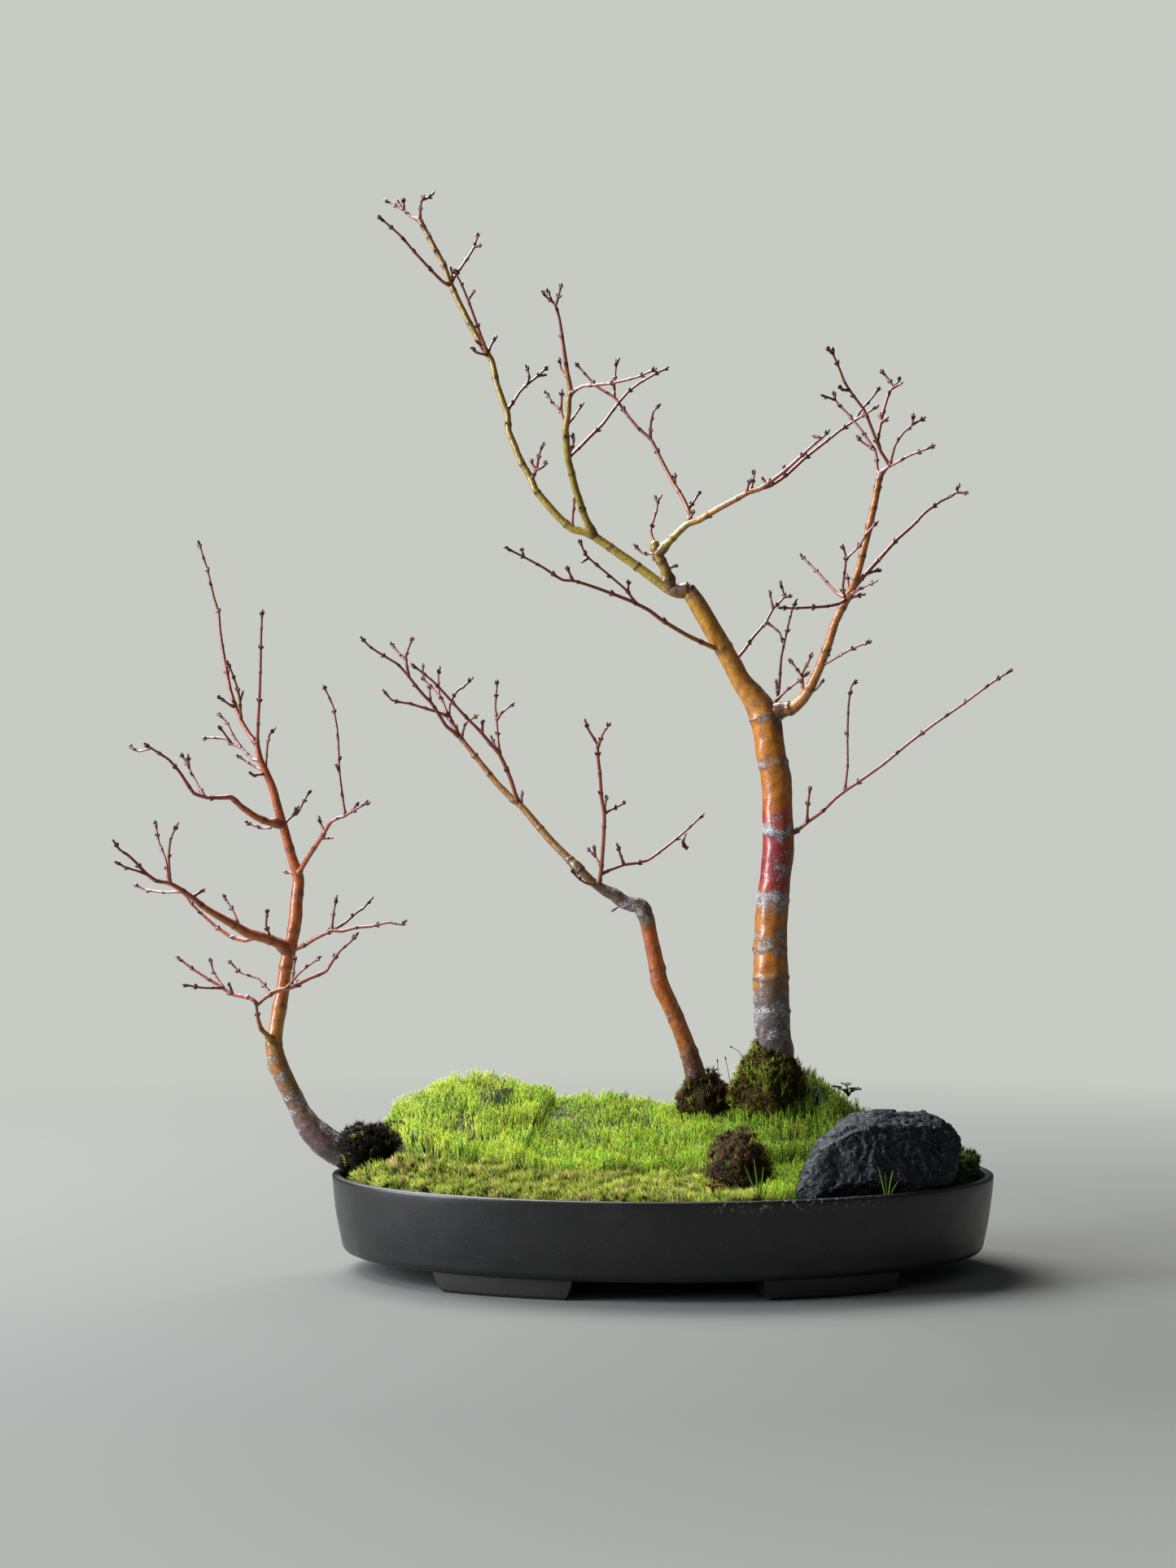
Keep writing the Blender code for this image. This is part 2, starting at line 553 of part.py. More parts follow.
RIGHT_FOOT = (64.0, 97.0)
RIGHT_PLANE = 40.0
RIGHT_TREE = (
    (0, ((57, 90, 24), (61, 103, 22.5), (63.6, 113, 21.5), (62.5, 120, 20.5), (62, 130, 19.8),
         (61.4, 148, 20.2), (61.3, 160, 19), (61.3, 180, 18), (61.9, 191, 18.3), (63.8, 210, 17),
         (65.4, 228, 17.6), (65.3, 240, 17.4), (65.1, 252, 16.3), (64.3, 266, 16.8), (61.3, 280, 16.3),
         (60, 290, 16.5), (57.5, 302, 17.2), (52, 311, 14), (45.2, 320, 11), (39.8, 330, 10.5),
         (32, 343.6, 10.3), (25.9, 354, 10), (19.8, 364.5, 9.8), (15, 372, 8))),
    # leader
    (35, ((15, 371, 6.5), (11, 370.6, 5.8), (4.1, 372, 5.4), (-2.9, 376.8, 5.2), (-12.4, 383.8),
          (-21.1, 389.9, 4.8), (-29.8, 396), (-36.9, 400.8, 4.7), (-42.1, 403.4), (-49.1, 405.2),
          (-56.9, 411.7, 4.2), (-63.8, 419.6), (-70, 427.3), (-72.7, 433.9), (-78, 443, 3.6),
          (-81.7, 452.1), (-84.8, 459.6), (-85.5, 469.4), (-87.8, 475.5), (-91.6, 486.8, 3.4),
          (-94.3, 498.9), (-100, 508), (-106, 518.6, 3.4), (-113.2, 533), (-116.6, 540.5),
          (-121.5, 553.4), (-126.4, 562.4), (-134.4, 577.5, 2.7))),
    (12, ((-134.4, 577.5, 1.7), (-138.5, 579), (-143.8, 583.2), (-154.4, 588.8))),
    (None, ((-143.8, 583.2), (-147.2, 588.8))),
    (None, ((-142.4, 584), (-143.4, 590))),
    (-8, ((-133.8, 578.3), (-133.2, 588.8), (-132, 591.5))),
    (None, ((-132.6, 588.5), (-128.7, 590.4), (-126.3, 593.4))),
    (-22, ((-116.6, 541, 1.9), (-120.4, 542.3), (-130.2, 551.8), (-138.5, 560.9), (-144.2, 567.7),
           (-158.2, 580.1))),
    (18, ((-117.3, 542.3, 1.8), (-111.3, 551.1), (-104.1, 562.4), (-101.8, 570.3))),
    (None, ((-104.1, 562.4), (-99.9, 563.5))),
    (None, ((-116.6, 544.3), (-117.1, 551.4))),
    (-20, ((-95.4, 502.7, 1.9), (-100.7, 514), (-106.7, 530.7), (-111.3, 542), (-115.8, 550.4))),
    (None, ((-106, 533.5), (-103.6, 538.6))),
    (None, ((-95, 503.5), (-94.8, 507.3), (-91.6, 513))),
    (-14, ((-97.7, 501.2), (-102.2, 503.5), (-105.8, 506.7))),
    (None, ((-100.3, 505), (-103.7, 510.7))),
    (16, ((-84.8, 471.3, 1.8), (-82.5, 475.5), (-78.7, 481.5), (-75, 485.7), (-73.4, 489.9),
          (-75.3, 496.7))),
    (8, ((-75, 485.7), (-69.7, 489.5), (-62.9, 495.9))),
    (None, ((-68.2, 490.5), (-63.6, 491))),
    (-14, ((-71.2, 433.1, 1.8), (-69.3, 438.4), (-67.8, 446.7), (-65.2, 453.9))),
    (None, ((-69.3, 438.4), (-65.9, 439.9), (-63.6, 443.3))),
    (None, ((-69.5, 438), (-71.6, 441.1), (-72.3, 444.5))),
    (None, ((-48.7, 406.5), (-48.7, 416), (-47.8, 424))),
    # upright limb on the leader
    (-40, ((-36.9, 402.1, 4), (-40.3, 407.3), (-42.9, 413.4, 3.9), (-46, 423), (-47.3, 426.5),
           (-49.9, 437), (-51.6, 443.7), (-52.7, 455.1, 3.8), (-53.1, 460.3), (-51.6, 470.2),
           (-51.2, 477.7, 3), (-50.4, 481.5), (-52.3, 492.9), (-54.6, 509.5, 1.9), (-56.9, 523.8),
           (-59.1, 530.6), (-63.6, 534.4), (-66.7, 538.2))),
    (None, ((-60.6, 532.5), (-63.6, 539.3))),
    (None, ((-58.5, 530), (-57.2, 534.4), (-55.5, 542.2))),
    (None, ((-51.6, 489.5), (-55.3, 493.7), (-57.1, 500.8))),
    (14, ((-53, 462), (-56.5, 472), (-59.1, 474), (-64.8, 482.3))),
    (None, ((-56.3, 471.5), (-55.7, 473.3), (-55, 483.2))),
    (None, ((-53, 462), (-47.8, 468.7), (-42.9, 475.9))),
    (None, ((-51.6, 444.5), (-48.6, 454.3), (-49.3, 458.9))),
    (-24, ((-50.4, 480.8, 1.9), (-43.2, 484.9), (-36.4, 485.3), (-28.1, 486.4), (-20.5, 487.9),
           (-12.2, 490.2), (-2.4, 494.8))),
    (30, ((-51.6, 444.5, 2), (-44, 452), (-40.2, 455.9), (-31.9, 464.2), (-28.1, 469.4), (-23.6, 475.5),
          (-18.3, 481.5), (-11.5, 486.8), (-6.9, 489.5), (4.4, 495.5))),
    # cut stump and the limb that runs right from it
    (-6, ((5.8, 372.5, 5.4), (2.4, 382.9, 5.7), (-1.1, 389.9), (-2.9, 394.2), (-3.7, 397.7, 5))),
    (None, ((-2.5, 391.2), (-9.9, 391.6), (-15.5, 396.9))),
    (14, ((-4, 396.5), (-5.5, 403.8), (-2, 420.4), (-3.7, 423.9))),
    (None, ((-2, 420.4), (0.6, 424.3))),
    (None, ((1.5, 381), (-5, 390))),
    (None, ((2.4, 382.9), (9.5, 385))),
    (-45, ((-1.5, 391.5, 4.4), (7.6, 401.2), (15.4, 408.2, 3.6), (20.7, 409.9), (31.1, 416, 3.3),
           (41.6, 421.6), (49.8, 426), (54.7, 427.3), (61.2, 431.7, 2.2), (68.5, 437), (77.4, 445.1),
           (86.4, 453.3), (89.7, 455.8), (94.1, 460.6))),
    (None, ((89.7, 455.8), (84.4, 457.4))),
    (26, ((50, 426, 2), (61.2, 429.3), (69.3, 434.6), (79.9, 444.3), (91.3, 453.3), (99.5, 459.8),
          (107.6, 465.5), (112.5, 472.4), (118.5, 479.2), (122, 484.5))),
    (None, ((107.6, 465.5), (115.5, 470.2), (121.5, 474.3))),
    (None, ((50, 426), (51.8, 434), (51.9, 438.3))),
    (None, ((47.5, 424.8), (49.8, 433))),
    (None, ((58.7, 430), (56.3, 434.2))),
    (None, ((68.5, 435.4), (68.9, 441))),
    (38, ((15.5, 409, 2.3), (16, 413.4), (12, 423), (7.6, 429.9), (0.3, 443.6), (-5.6, 455.1),
          (-13, 461.8), (-17.5, 467.1), (-25.9, 478.5, 1.6), (-35.6, 484.5), (-44.7, 494.4),
          (-48.1, 498.2))),
    (10, ((-25.9, 478.8), (-25.9, 486), (-25.1, 495.9), (-25.1, 499.7))),
    (None, ((-25.1, 495.9), (-23.2, 500.8))),
    (None, ((-6, 455.4), (-5.4, 464.9), (-3.9, 471), (-0.2, 475.1))),
    (None, ((15.2, 416), (18.9, 421.3), (22, 426.5))),
    (None, ((16, 410), (18.5, 416))),
    (None, ((7.6, 429.9), (7.8, 436.5))),
    # low left branch
    (-52, ((33, 334, 2.8), (14.5, 346, 2.4), (-0.3, 355), (-6.4, 359.7), (-16.8, 365), (-29, 369.8),
           (-49.1, 376.3), (-54.3, 376.7), (-65.6, 383.7), (-76.1, 389.4), (-83, 392.9),
           (-87.4, 395.1))),
    (-16, ((-13.8, 363.8), (-18.5, 370.2), (-29.9, 380.3), (-42.1, 391.2), (-45.6, 399.5))),
    (None, ((-40, 389.3), (-44.3, 386.4))),
    (None, ((-18.5, 370.2), (-18, 377))),
    (None, ((-49.1, 376.3), (-52.6, 384.6))),
    (None, ((-76.5, 389.5), (-77.8, 395))),
    # right limb
    (-48, ((59, 300, 7.5), (67, 304, 7.2), (73.2, 305.4, 7), (79.3, 310.6, 6), (82.3, 315.2),
           (88.4, 328, 4.9), (93.6, 341.6), (97.4, 353.7), (101.9, 362.8), (106.5, 371.1),
           (110.3, 382.5, 3.9), (113.3, 394.6), (115.9, 405.2), (119.3, 420.3), (121.9, 433.9),
           (122.7, 436.9, 3.6))),
    (14, ((122.2, 434, 1.8), (120.8, 438.4), (119.3, 449), (112.5, 453.5), (108.6, 457.3))),
    (18, ((119.3, 449, 1.6), (116.3, 453.5), (111.7, 460.3), (107.9, 464.9), (103.4, 470.2), (97.4, 477),
          (96.2, 482.2))),
    (None, ((97.4, 477), (89, 480))),
    (-26, ((122.5, 435, 2), (126.9, 440.7), (122.7, 448.3), (118.5, 458.8), (113.2, 471.7),
           (108.7, 477.7), (102.6, 486.8), (99.6, 494.4), (96.2, 502), (92.4, 506.9))),
    (None, ((96.2, 502), (95.9, 506.5))),
    (None, ((105.5, 482.5), (101.1, 483), (98.9, 485.3))),
    (16, ((121.5, 450), (121, 453.5, 1.8), (122.7, 464.1), (123.9, 470.2), (127.6, 481.5), (129.2, 484.6),
          (124.6, 491.4), (122, 494))),
    (None, ((129, 484), (132.2, 486.8), (133.3, 490.2))),
    (None, ((128.5, 483.5), (134.8, 486.8))),
    (None, ((122.9, 466), (122, 470.2))),
    (None, ((122.9, 464.5), (126.9, 467.5))),
    (-20, ((122.7, 436.5, 1.8), (126.9, 439.9), (131.4, 442.2), (138.2, 446), (148, 449.8),
           (152.9, 451.9))),
    (-10, ((127.5, 440.2), (129.2, 446.7), (130.7, 452), (135.2, 458.8), (140.1, 463.3),
           (140.8, 469.8))),
    (None, ((140.1, 463.3), (147.6, 467.5))),
    # far right branch
    (24, ((105.2, 368.9, 2.5), (111, 376.4, 2.3), (117.8, 384), (123.9, 390.8), (131.4, 399.1),
          (139.8, 406.5), (147.3, 414.3), (155.6, 420.3), (164.6, 425.6), (166.5, 430.5))),
    (None, ((164.6, 425.6), (171.4, 425.2))),
    (None, ((114.5, 380.4), (123, 382.5))),
    (30, ((104, 366.5, 1.8), (98.9, 368.9), (87.6, 381), (79.2, 389.3), (77.4, 391.5))),
    (-16, ((103.2, 365), (101.6, 371.1), (103.1, 390), (101.2, 396.8))),
    (None, ((103, 388.5), (109.6, 394.6), (115.6, 403.6), (121.2, 409.8))),
    (None, ((105, 369), (103.8, 380.2))),
    (-18, ((104.5, 367.4), (111, 371.9), (120.8, 376.4))),
    (None, ((104, 366), (114, 369))),
    (-26, ((104, 366.4, 1.8), (99.7, 363.6), (92.9, 362.1), (80.8, 361.3), (74, 361), (65, 361.3))),
    # twigs low on the right limb
    (None, ((80.5, 312), (79.2, 316.7), (78.1, 323.5), (71.3, 333))),
    (-12, ((79, 319), (79.2, 325), (82.3, 331), (84.5, 336.3))),
    (None, ((81, 312.5), (86.8, 316), (90.8, 321.6))),
    (-16, ((88.6, 328.5), (93.6, 331), (101.2, 335.6), (108.8, 339.4), (117.5, 342.8))),
    (None, ((90, 331), (94, 336))),
    # twigs on the trunk
    (18, ((40, 330, 1.9), (46.7, 337.9), (52, 345.5), (58, 352.3), (62.6, 360.6), (68.6, 367.4),
          (66.4, 376.4))),
    (None, ((68.2, 367), (73.2, 368.1))),
    (None, ((62.6, 360.6), (60.3, 371.1))),
    (None, ((58.8, 353.4), (66.4, 347), (67.9, 341.6))),
    (22, ((62, 301, 1.9), (65.7, 315.2), (67.2, 334.1), (69.8, 346.2), (73.6, 361.3), (75.9, 366.3))),
    (None, ((65.3, 313.5), (64, 321.5))),
    (-10, ((64.5, 309), (71, 316), (77.8, 321.3), (83, 325.8))),
    # long low branch
    (-34, ((67, 231, 2.4), (74.7, 236), (82.2, 242, 2), (90.3, 248), (97.3, 255), (103.1, 259.5),
           (110, 264.1), (124, 274), (138, 285.6), (152, 296.1), (168.8, 307.8), (184.5, 319.4),
           (196.1, 327))),
    (14, ((102.5, 259), (104, 272.3), (104, 287.4), (104.9, 309.5), (106.6, 318.2), (109.5, 321.1))),
    (None, ((81.6, 241.5), (81.9, 250.2), (83.4, 261.8))),
)

MIDDLE_FOOT = (24.0, 86.0)
MIDDLE_PLANE = 45.0
MIDDLE_TREE = (
    (0, ((25, 84, 13.5), (21, 95, 12.8), (16.8, 110, 10.4), (13.2, 120, 9.6), (9.4, 130, 9.4),
         (4.9, 140, 9.4), (-0.5, 152, 9.8), (-2.2, 161, 9), (-4.1, 170, 8.6), (-6.2, 180, 8.3),
         (-8.3, 189, 9), (-11.5, 195, 9), (-17.1, 196.2, 8), (-21.8, 198, 8), (-25.8, 201.4, 7.5),
         (-30.5, 203.5, 6.5), (-36.8, 207.5, 5), (-44.7, 214.8, 4.7))),
    (34, ((-44.7, 214.8, 4.6), (-52.6, 222.7), (-61.3, 231.4), (-71.4, 243.2, 4), (-78.1, 251),
          (-84.2, 256.3), (-91.8, 263.9, 3.4), (-97.8, 271.4), (-103.9, 279), (-110, 286.6),
          (-113, 290.4), (-115.3, 294.9), (-119.1, 301.7, 2.2))),
    (-12, ((-119.1, 301.7, 1.8), (-125.2, 304), (-132.8, 306.3), (-140.3, 308.6), (-150.9, 310.8),
           (-156.2, 316.9))),
    (10, ((-119.4, 302, 1.7), (-122.1, 309.3), (-124, 313.1), (-124.8, 325.3), (-124, 329.8))),
    (None, ((-123.6, 312), (-128.2, 317.7), (-133.5, 323), (-133.7, 331.4))),
    (16, ((-119.1, 301.7, 1.6), (-117.9, 310.1), (-114.2, 315.8), (-109.2, 319.6), (-105.4, 323.8))),
    (-30, ((-113, 290.4, 2.2), (-120.6, 296.4), (-124.4, 302.5), (-128.9, 309.3), (-132.7, 313.1),
           (-137.2, 318.4), (-142.5, 325.3), (-147.8, 331), (-150.9, 332.9), (-163.8, 341.2),
           (-168.7, 346.5))),
    (None, ((-141.4, 324), (-142.9, 335.9), (-139.1, 346.1))),
    (None, ((-142.7, 333), (-148.6, 338.9), (-151.7, 343.5))),
    (None, ((-112, 289.2), (-109.2, 298), (-102.4, 302.5))),
    (None, ((-129.5, 309.7), (-130, 320))),
    (-26, ((-80, 252.6, 2.4), (-84.2, 266.1), (-88, 275.2, 2.3), (-90.3, 279.8), (-97.8, 288.9),
           (-101.6, 293.4), (-109.2, 301), (-117.5, 310.1), (-123.6, 316.9), (-128.1, 321.5),
           (-134.2, 326.4), (-140.3, 331.3))),
    (12, ((-90.3, 279.8, 1.7), (-91.4, 288.9), (-92.2, 299.5), (-92.9, 307), (-92.2, 316.2),
          (-91.8, 322.2))),
    (None, ((-92.2, 299.5), (-89.5, 303.3), (-82.3, 309.3))),
    (None, ((-91.3, 281), (-95.6, 291.1))),
    (None, ((-100.5, 292), (-99.7, 299.9))),
    (None, ((-78, 251.5), (-78, 260))),
    (-30, ((-35, 206.8, 2.6), (-33.6, 214.1), (-32.8, 223.5, 2.2), (-32, 235.3), (-31.7, 246.4),
           (-33.2, 255.8), (-34, 266.8), (-35.2, 278.6, 1.8), (-35.6, 285.7), (-40.7, 294.4),
           (-42.7, 300.3))),
    (None, ((-35.5, 284), (-32, 292.8), (-28.5, 298.3))),
    (12, ((-31.8, 247), (-28.9, 248.7), (-24.1, 251.1), (-19.8, 253.8))),
    (None, ((-31.8, 247), (-30.5, 257.5))),
    (26, ((-33.6, 213.2, 1.9), (-28.9, 215.3), (-20.2, 218.4), (-13.9, 219.2), (-7.6, 220.8),
          (3.4, 228.6), (14.4, 237.7), (24.3, 247.1))),
    (None, ((-20.6, 218.2), (-22.2, 222.7), (-24.7, 230.5))),
    (None, ((-33.2, 217.2), (-36.8, 222.7), (-41.5, 227.8))),
    (None, ((-36.8, 222.7), (-37.4, 229.4))),
    (-14, ((-35, 206.5), (-43.1, 208.6), (-47.1, 211.7), (-50.2, 215.7))),
    (None, ((-20, 197), (-27.7, 192.5))),
)

LEFT_FOOT = (-164.0, 64.0)
LEFT_PLANE = 5.0
LEFT_TREE = (
    (0, ((-164, 60, 17), (-172, 60.8, 18), (-180.5, 64.8, 17.8), (-187, 70, 16.6), (-192.6, 75.6, 14.8),
         (-197, 82.5, 12.3), (-200.8, 90, 10.9), (-205.6, 100, 11), (-210.1, 110, 11.5),
         (-212.1, 120, 9.4), (-210.9, 130, 8), (-209.2, 140, 8.4), (-207.4, 150, 7.5), (-206.3, 160, 7),
         (-204.3, 170, 8), (-201.9, 180, 7), (-200.4, 190, 7.5), (-199.8, 200, 7), (-198.8, 210, 6.6),
         (-203, 225, 5.3), (-207.1, 240, 5), (-210.1, 250, 4.7), (-212.7, 260, 4.5), (-216.8, 270, 4),
         (-219.5, 275.7), (-221.5, 285, 3))),
    (28, ((-221.5, 285, 2.6), (-224.7, 289), (-229.9, 297.2), (-232.9, 304.6), (-235.9, 313.5, 2.2),
          (-238.1, 324.6), (-240.3, 337.2, 1.8), (-241.8, 347.6), (-242.5, 356.5), (-244.8, 363.9, 1.5),
          (-248.5, 379.5), (-252.2, 391.3), (-253.7, 396.2))),
    (-12, ((-230.2, 298), (-231, 309.8), (-232.1, 315), (-235.8, 325.4), (-238.4, 330.6))),
    (None, ((-231, 308), (-229.1, 314.2))),
    (None, ((-233, 305), (-235.8, 306), (-243.3, 311.3))),
    (-22, ((-221.5, 284, 1.9), (-220.7, 300.1), (-220.3, 306), (-219.5, 328.3), (-219.2, 343.9),
           (-218.6, 358.5))),
    (None, ((-217, 270.5), (-221.6, 271.7), (-226.4, 274.8), (-233.2, 278.9))),
    (None, ((-216.3, 268.8), (-223.6, 268), (-226, 269.7))),
    (12, ((-216.5, 270), (-215.8, 284.4), (-214.7, 289.8), (-211.3, 294))),
    (18, ((-219.5, 275.7, 1.7), (-223.9, 276.5), (-229.9, 282.7), (-234.4, 284.5), (-238.8, 287.5),
          (-251.5, 288.2))),
    (None, ((-229.9, 283), (-235, 290.5), (-237.7, 296.4), (-243.3, 302))),
    (None, ((-235.5, 285.5), (-240.3, 292), (-242.9, 295))),
    # upper left branch
    (-30, ((-207.4, 241, 4.2), (-215.8, 242.4), (-222.5, 245.3, 3.9), (-229.9, 250.5), (-235.9, 255.7),
           (-241, 255.6), (-249.2, 255.7, 2.2), (-255.9, 257.9), (-259.6, 263.1), (-264, 269.8),
           (-270, 276.5), (-274.4, 279.4), (-283.6, 285.3))),
    (None, ((-279.6, 282.5), (-286.3, 280.9), (-291.5, 284.2))),
    (14, ((-250, 256), (-255.9, 266.1), (-259.2, 272.7), (-263.3, 280.1))),
    (None, ((-258.5, 271.5), (-259.2, 279.4))),
    (None, ((-209, 241.2), (-218, 238.7), (-224.7, 240.9), (-228.4, 242.7))),
    (16, ((-207, 240.5), (-202.4, 245.4), (-199, 247.5), (-196.3, 253), (-192.2, 259.8))),
    (None, ((-202.4, 245.6), (-198.3, 251.2))),
    # right branch
    (-36, ((-199.4, 213, 3), (-193.6, 222.8, 2.8), (-189.5, 229), (-185.4, 235.2), (-180.6, 242.7),
           (-177.2, 244.4), (-173.7, 245.4), (-171.7, 246.8), (-166.9, 249.5), (-162.1, 252.3),
           (-159.7, 253))),
    (None, ((-171, 247.3), (-165.8, 253))),
    (16, ((-173.4, 245.8, 1.7), (-175.1, 257.7), (-176.5, 269.4), (-177.2, 286.4), (-177.8, 293.3),
          (-180.2, 306.1), (-185.4, 317.2))),
    (None, ((-176.5, 270), (-178.5, 274))),
    (None, ((-184.5, 236.5), (-186.4, 240.7), (-188.4, 245.5))),
    (None, ((-186.5, 233.5), (-180, 233.4))),
    (None, ((-199.5, 214), (-207.2, 215))),
    # low left limb
    (-44, ((-204.5, 171, 5.4), (-209.4, 175.8, 5.2), (-216.4, 178.5, 5.8), (-227, 181.6, 5.6),
           (-234.1, 186, 4.8), (-242.9, 190.9, 4.1), (-250, 195.3, 3.6), (-257.1, 201), (-264.1, 205.9),
           (-270, 209, 2.4), (-276.6, 210.1), (-281.8, 213.8), (-287, 219.4), (-292.2, 224.2),
           (-296.6, 227.2), (-300.4, 232.7))),
    (16, ((-222, 179, 2.6), (-227.9, 177.5), (-235.8, 179.6), (-243.8, 185), (-250.9, 191.2),
          (-257.9, 198.3), (-262, 204.5))),
    (None, ((-281.8, 213.8), (-287.7, 215.7), (-293.7, 217.6), (-299.2, 220.9))),
    (14, ((-262, 204.3, 1.7), (-272.2, 203.8), (-282.5, 205.3), (-288.8, 208.3))),
    (None, ((-269.6, 209.5), (-271.4, 221.6), (-275.1, 231.2), (-277.2, 243.1))),
    (None, ((-268.7, 208.8), (-269.6, 224.6), (-268.5, 233.5), (-264.4, 242))),
    (None, ((-257, 201), (-250, 205.7))),
    (12, ((-229, 182), (-231.4, 186.4), (-234.1, 192.6), (-240.3, 202.7))),
    (None, ((-212.8, 177.5), (-216.4, 185.5), (-215.7, 194.8))),
    # right branch below it
    (-20, ((-203.8, 172, 2.6), (-197, 174.1), (-189.9, 178.5, 2.3), (-184.6, 181.1), (-180.2, 182.9),
           (-175.8, 182.5), (-166.9, 184.6), (-159.9, 185.1), (-149.3, 187.3), (-142.2, 186.4),
           (-139.6, 188.6))),
    (18, ((-181, 182.7, 1.7), (-173.1, 187.3), (-167.8, 192.1), (-162.5, 196.1), (-158.1, 201.4))),
    (None, ((-180.6, 182.6), (-179.7, 192.6), (-177.7, 202.3))),
    # branch that loops in front of the trunk
    (-26, ((-212, 121, 3.8), (-214.6, 124.6, 3.4), (-219.1, 129), (-220.8, 134.3), (-221.7, 141.4),
           (-221.7, 144))),
    (14, ((-221.7, 143.5, 2.4), (-225.2, 145.9), (-235, 148.1), (-241.1, 152), (-248.2, 156.5),
          (-255.2, 160.9), (-265.8, 168.8))),
    (None, ((-240.5, 151.7), (-250.8, 151.6), (-262.3, 153.4))),
    (None, ((-239.5, 151), (-245.5, 160.9), (-247.3, 168))),
    (None, ((-235, 148.3), (-236.7, 154.7))),
    (-6, ((-221.5, 142, 2.7), (-216.4, 146.7), (-212, 149.4), (-202.3, 152, 2.5), (-193.4, 156.5),
          (-183.7, 160.9), (-180.2, 166.2), (-175.7, 172.3), (-170.4, 176.8), (-166, 182))),
    (None, ((-214, 148.4), (-220.8, 156.5), (-230.5, 160), (-237.1, 166.6))),
    (None, ((-206, 151), (-197, 160.9), (-186.4, 168.8))),
    (None, ((-202.5, 152.2), (-202, 158), (-200.5, 169))),
)


def filled(points):
    """(across, up, diameter) with the diameters between the given ones filled in along the length."""
    along = np.cumsum([0.0] + [math.dist(a[:2], b[:2]) for a, b in zip(points, points[1:])])
    known = [(s, p[2]) for s, p in zip(along, points) if len(p) == 3]
    if not known or known[0][0] > 0:
        known.insert(0, (0.0, 1.5))
    if len(points[-1]) == 2:
        known.append((along[-1], TWIG_TIP / MM))
    widths = np.interp(along, [s for s, _ in known], [d for _, d in known])
    return [(p[0], p[1], d) for p, d in zip(points, widths)], along


def nearest_depth(paths, x, z):
    """Where the nearest earlier limb runs: its (across, up, depth, diameter) beside (x, z)."""
    best = None
    for path in paths:
        for a, b in zip(path, path[1:]):
            step = (b[0] - a[0], b[1] - a[1])
            size = step[0] ** 2 + step[1] ** 2
            t = min(max(((x - a[0]) * step[0] + (z - a[1]) * step[1]) / size, 0.0), 1.0)
            spot = [p + t * (q - p) for p, q in zip(a, b)]
            away = math.hypot(spot[0] - x, spot[1] - z)
            if best is None or away < best[0]:
                best = (away, spot)
    return best[1]


def grown(limbs, plane):
    """Each limb as a list of (across, up, depth, diameter), starting inside the limb it grows from."""
    paths = []
    turn = 1
    for lean, points in limbs:
        course, along = filled(points)
        start_depth = plane
        if paths:
            spot = nearest_depth(paths, *course[0][:2])
            start_depth = spot[2]
            thick = min(course[0][2], 0.9 * spot[3])
            course[0] = (spot[0], spot[1], thick)
        if lean is None:
            lean = turn * 0.45 * along[-1]
            turn = -turn
        path = []
        for (x, z, d), s in zip(course, along):
            share = s / along[-1]
            path.append((x, z, start_depth + lean * share * (1.4 - 0.4 * share), d))
        paths.append(path)
    return paths


def placed(path, foot, plane, stand, scale, girth):
    """The path in metres, slid along each line of sight to its depth, as (point, radius)."""
    out = []
    for x, z, y, d in path:
        drawn = Vector((x, plane, z)) * MM
        depth = (y * MM - VIEWING_POINT.y) / (plane * MM - VIEWING_POINT.y)
        point = VIEWING_POINT + (drawn - VIEWING_POINT) * depth
        base = Vector((foot[0], plane, foot[1])) * MM
        out.append((stand + (point - base) * scale, d * MM / 2 * girth))
    return out


def thinned(path, within):
    """The path without the points that a straight run passes closer to than within."""
    if len(path) < 3:
        return path
    first, last = path[0][0], path[-1][0]
    line = (last - first).normalized()
    offsets = [((p - first) - line * (p - first).dot(line)).length for p, _ in path[1:-1]]
    worst = int(np.argmax(offsets)) + 1
    if offsets[worst - 1] < within:
        return [path[0], path[-1]]
    return thinned(path[: worst + 1], within)[:-1] + thinned(path[worst:], within)


def make_tree(name, limbs, foot, plane, stand, height, trunk_width):
    """Returns the tree and its limbs' paths, the trunk first."""
    paths = grown(limbs, plane)
    drawn_height = (max(z for path in paths for _, z, _, _ in path) - foot[1]) * MM
    scale = height / drawn_height
    girth = trunk_width / (limbs[0][1][1][2] * MM)
    solid = [placed(path, foot, plane, stand, scale, girth) for path in paths]
    slack = min(scale, girth, 1.0)
    kinds = {1: [], 0: []}
    for path in solid[1:]:
        thick = path[0][1] > THICK_LIMB / 2 * girth
        kinds[1 if thick else 0].append(thinned(path, LIMB_SLACK * slack))
    tree = tubes(name, [thinned(solid[0], TRUNK_SLACK * slack)], 2)
    others = [tubes("limbs", kinds[kind], kind) for kind in (1, 0) if kinds[kind]]
    combine(tree, others, "UNION", among_themselves=True)
    discard(others)
    return tree, solid


def trunk_cutter(path, count):
    """The foot of a trunk, grown by the gap, as a cutter."""
    reach = [(point, radius + 1.6 * GAP) for point, radius in path[:count]]
    first, second = reach[0][0], reach[1][0]
    below = (first + (first - second).normalized() * 2 * GAP, reach[0][1])
    return as_cutter(tubes("socket", [[below] + reach], 2))


# Small plants


def blade(foot, tip, bend, width):
    """A grass blade's path: it leaves the ground upright and bends over."""
    knee = foot.lerp(tip, 0.55) + Vector((0, 0, bend))
    return [(foot, width / 2), (knee, width * 0.42), (tip, width * 0.2)]


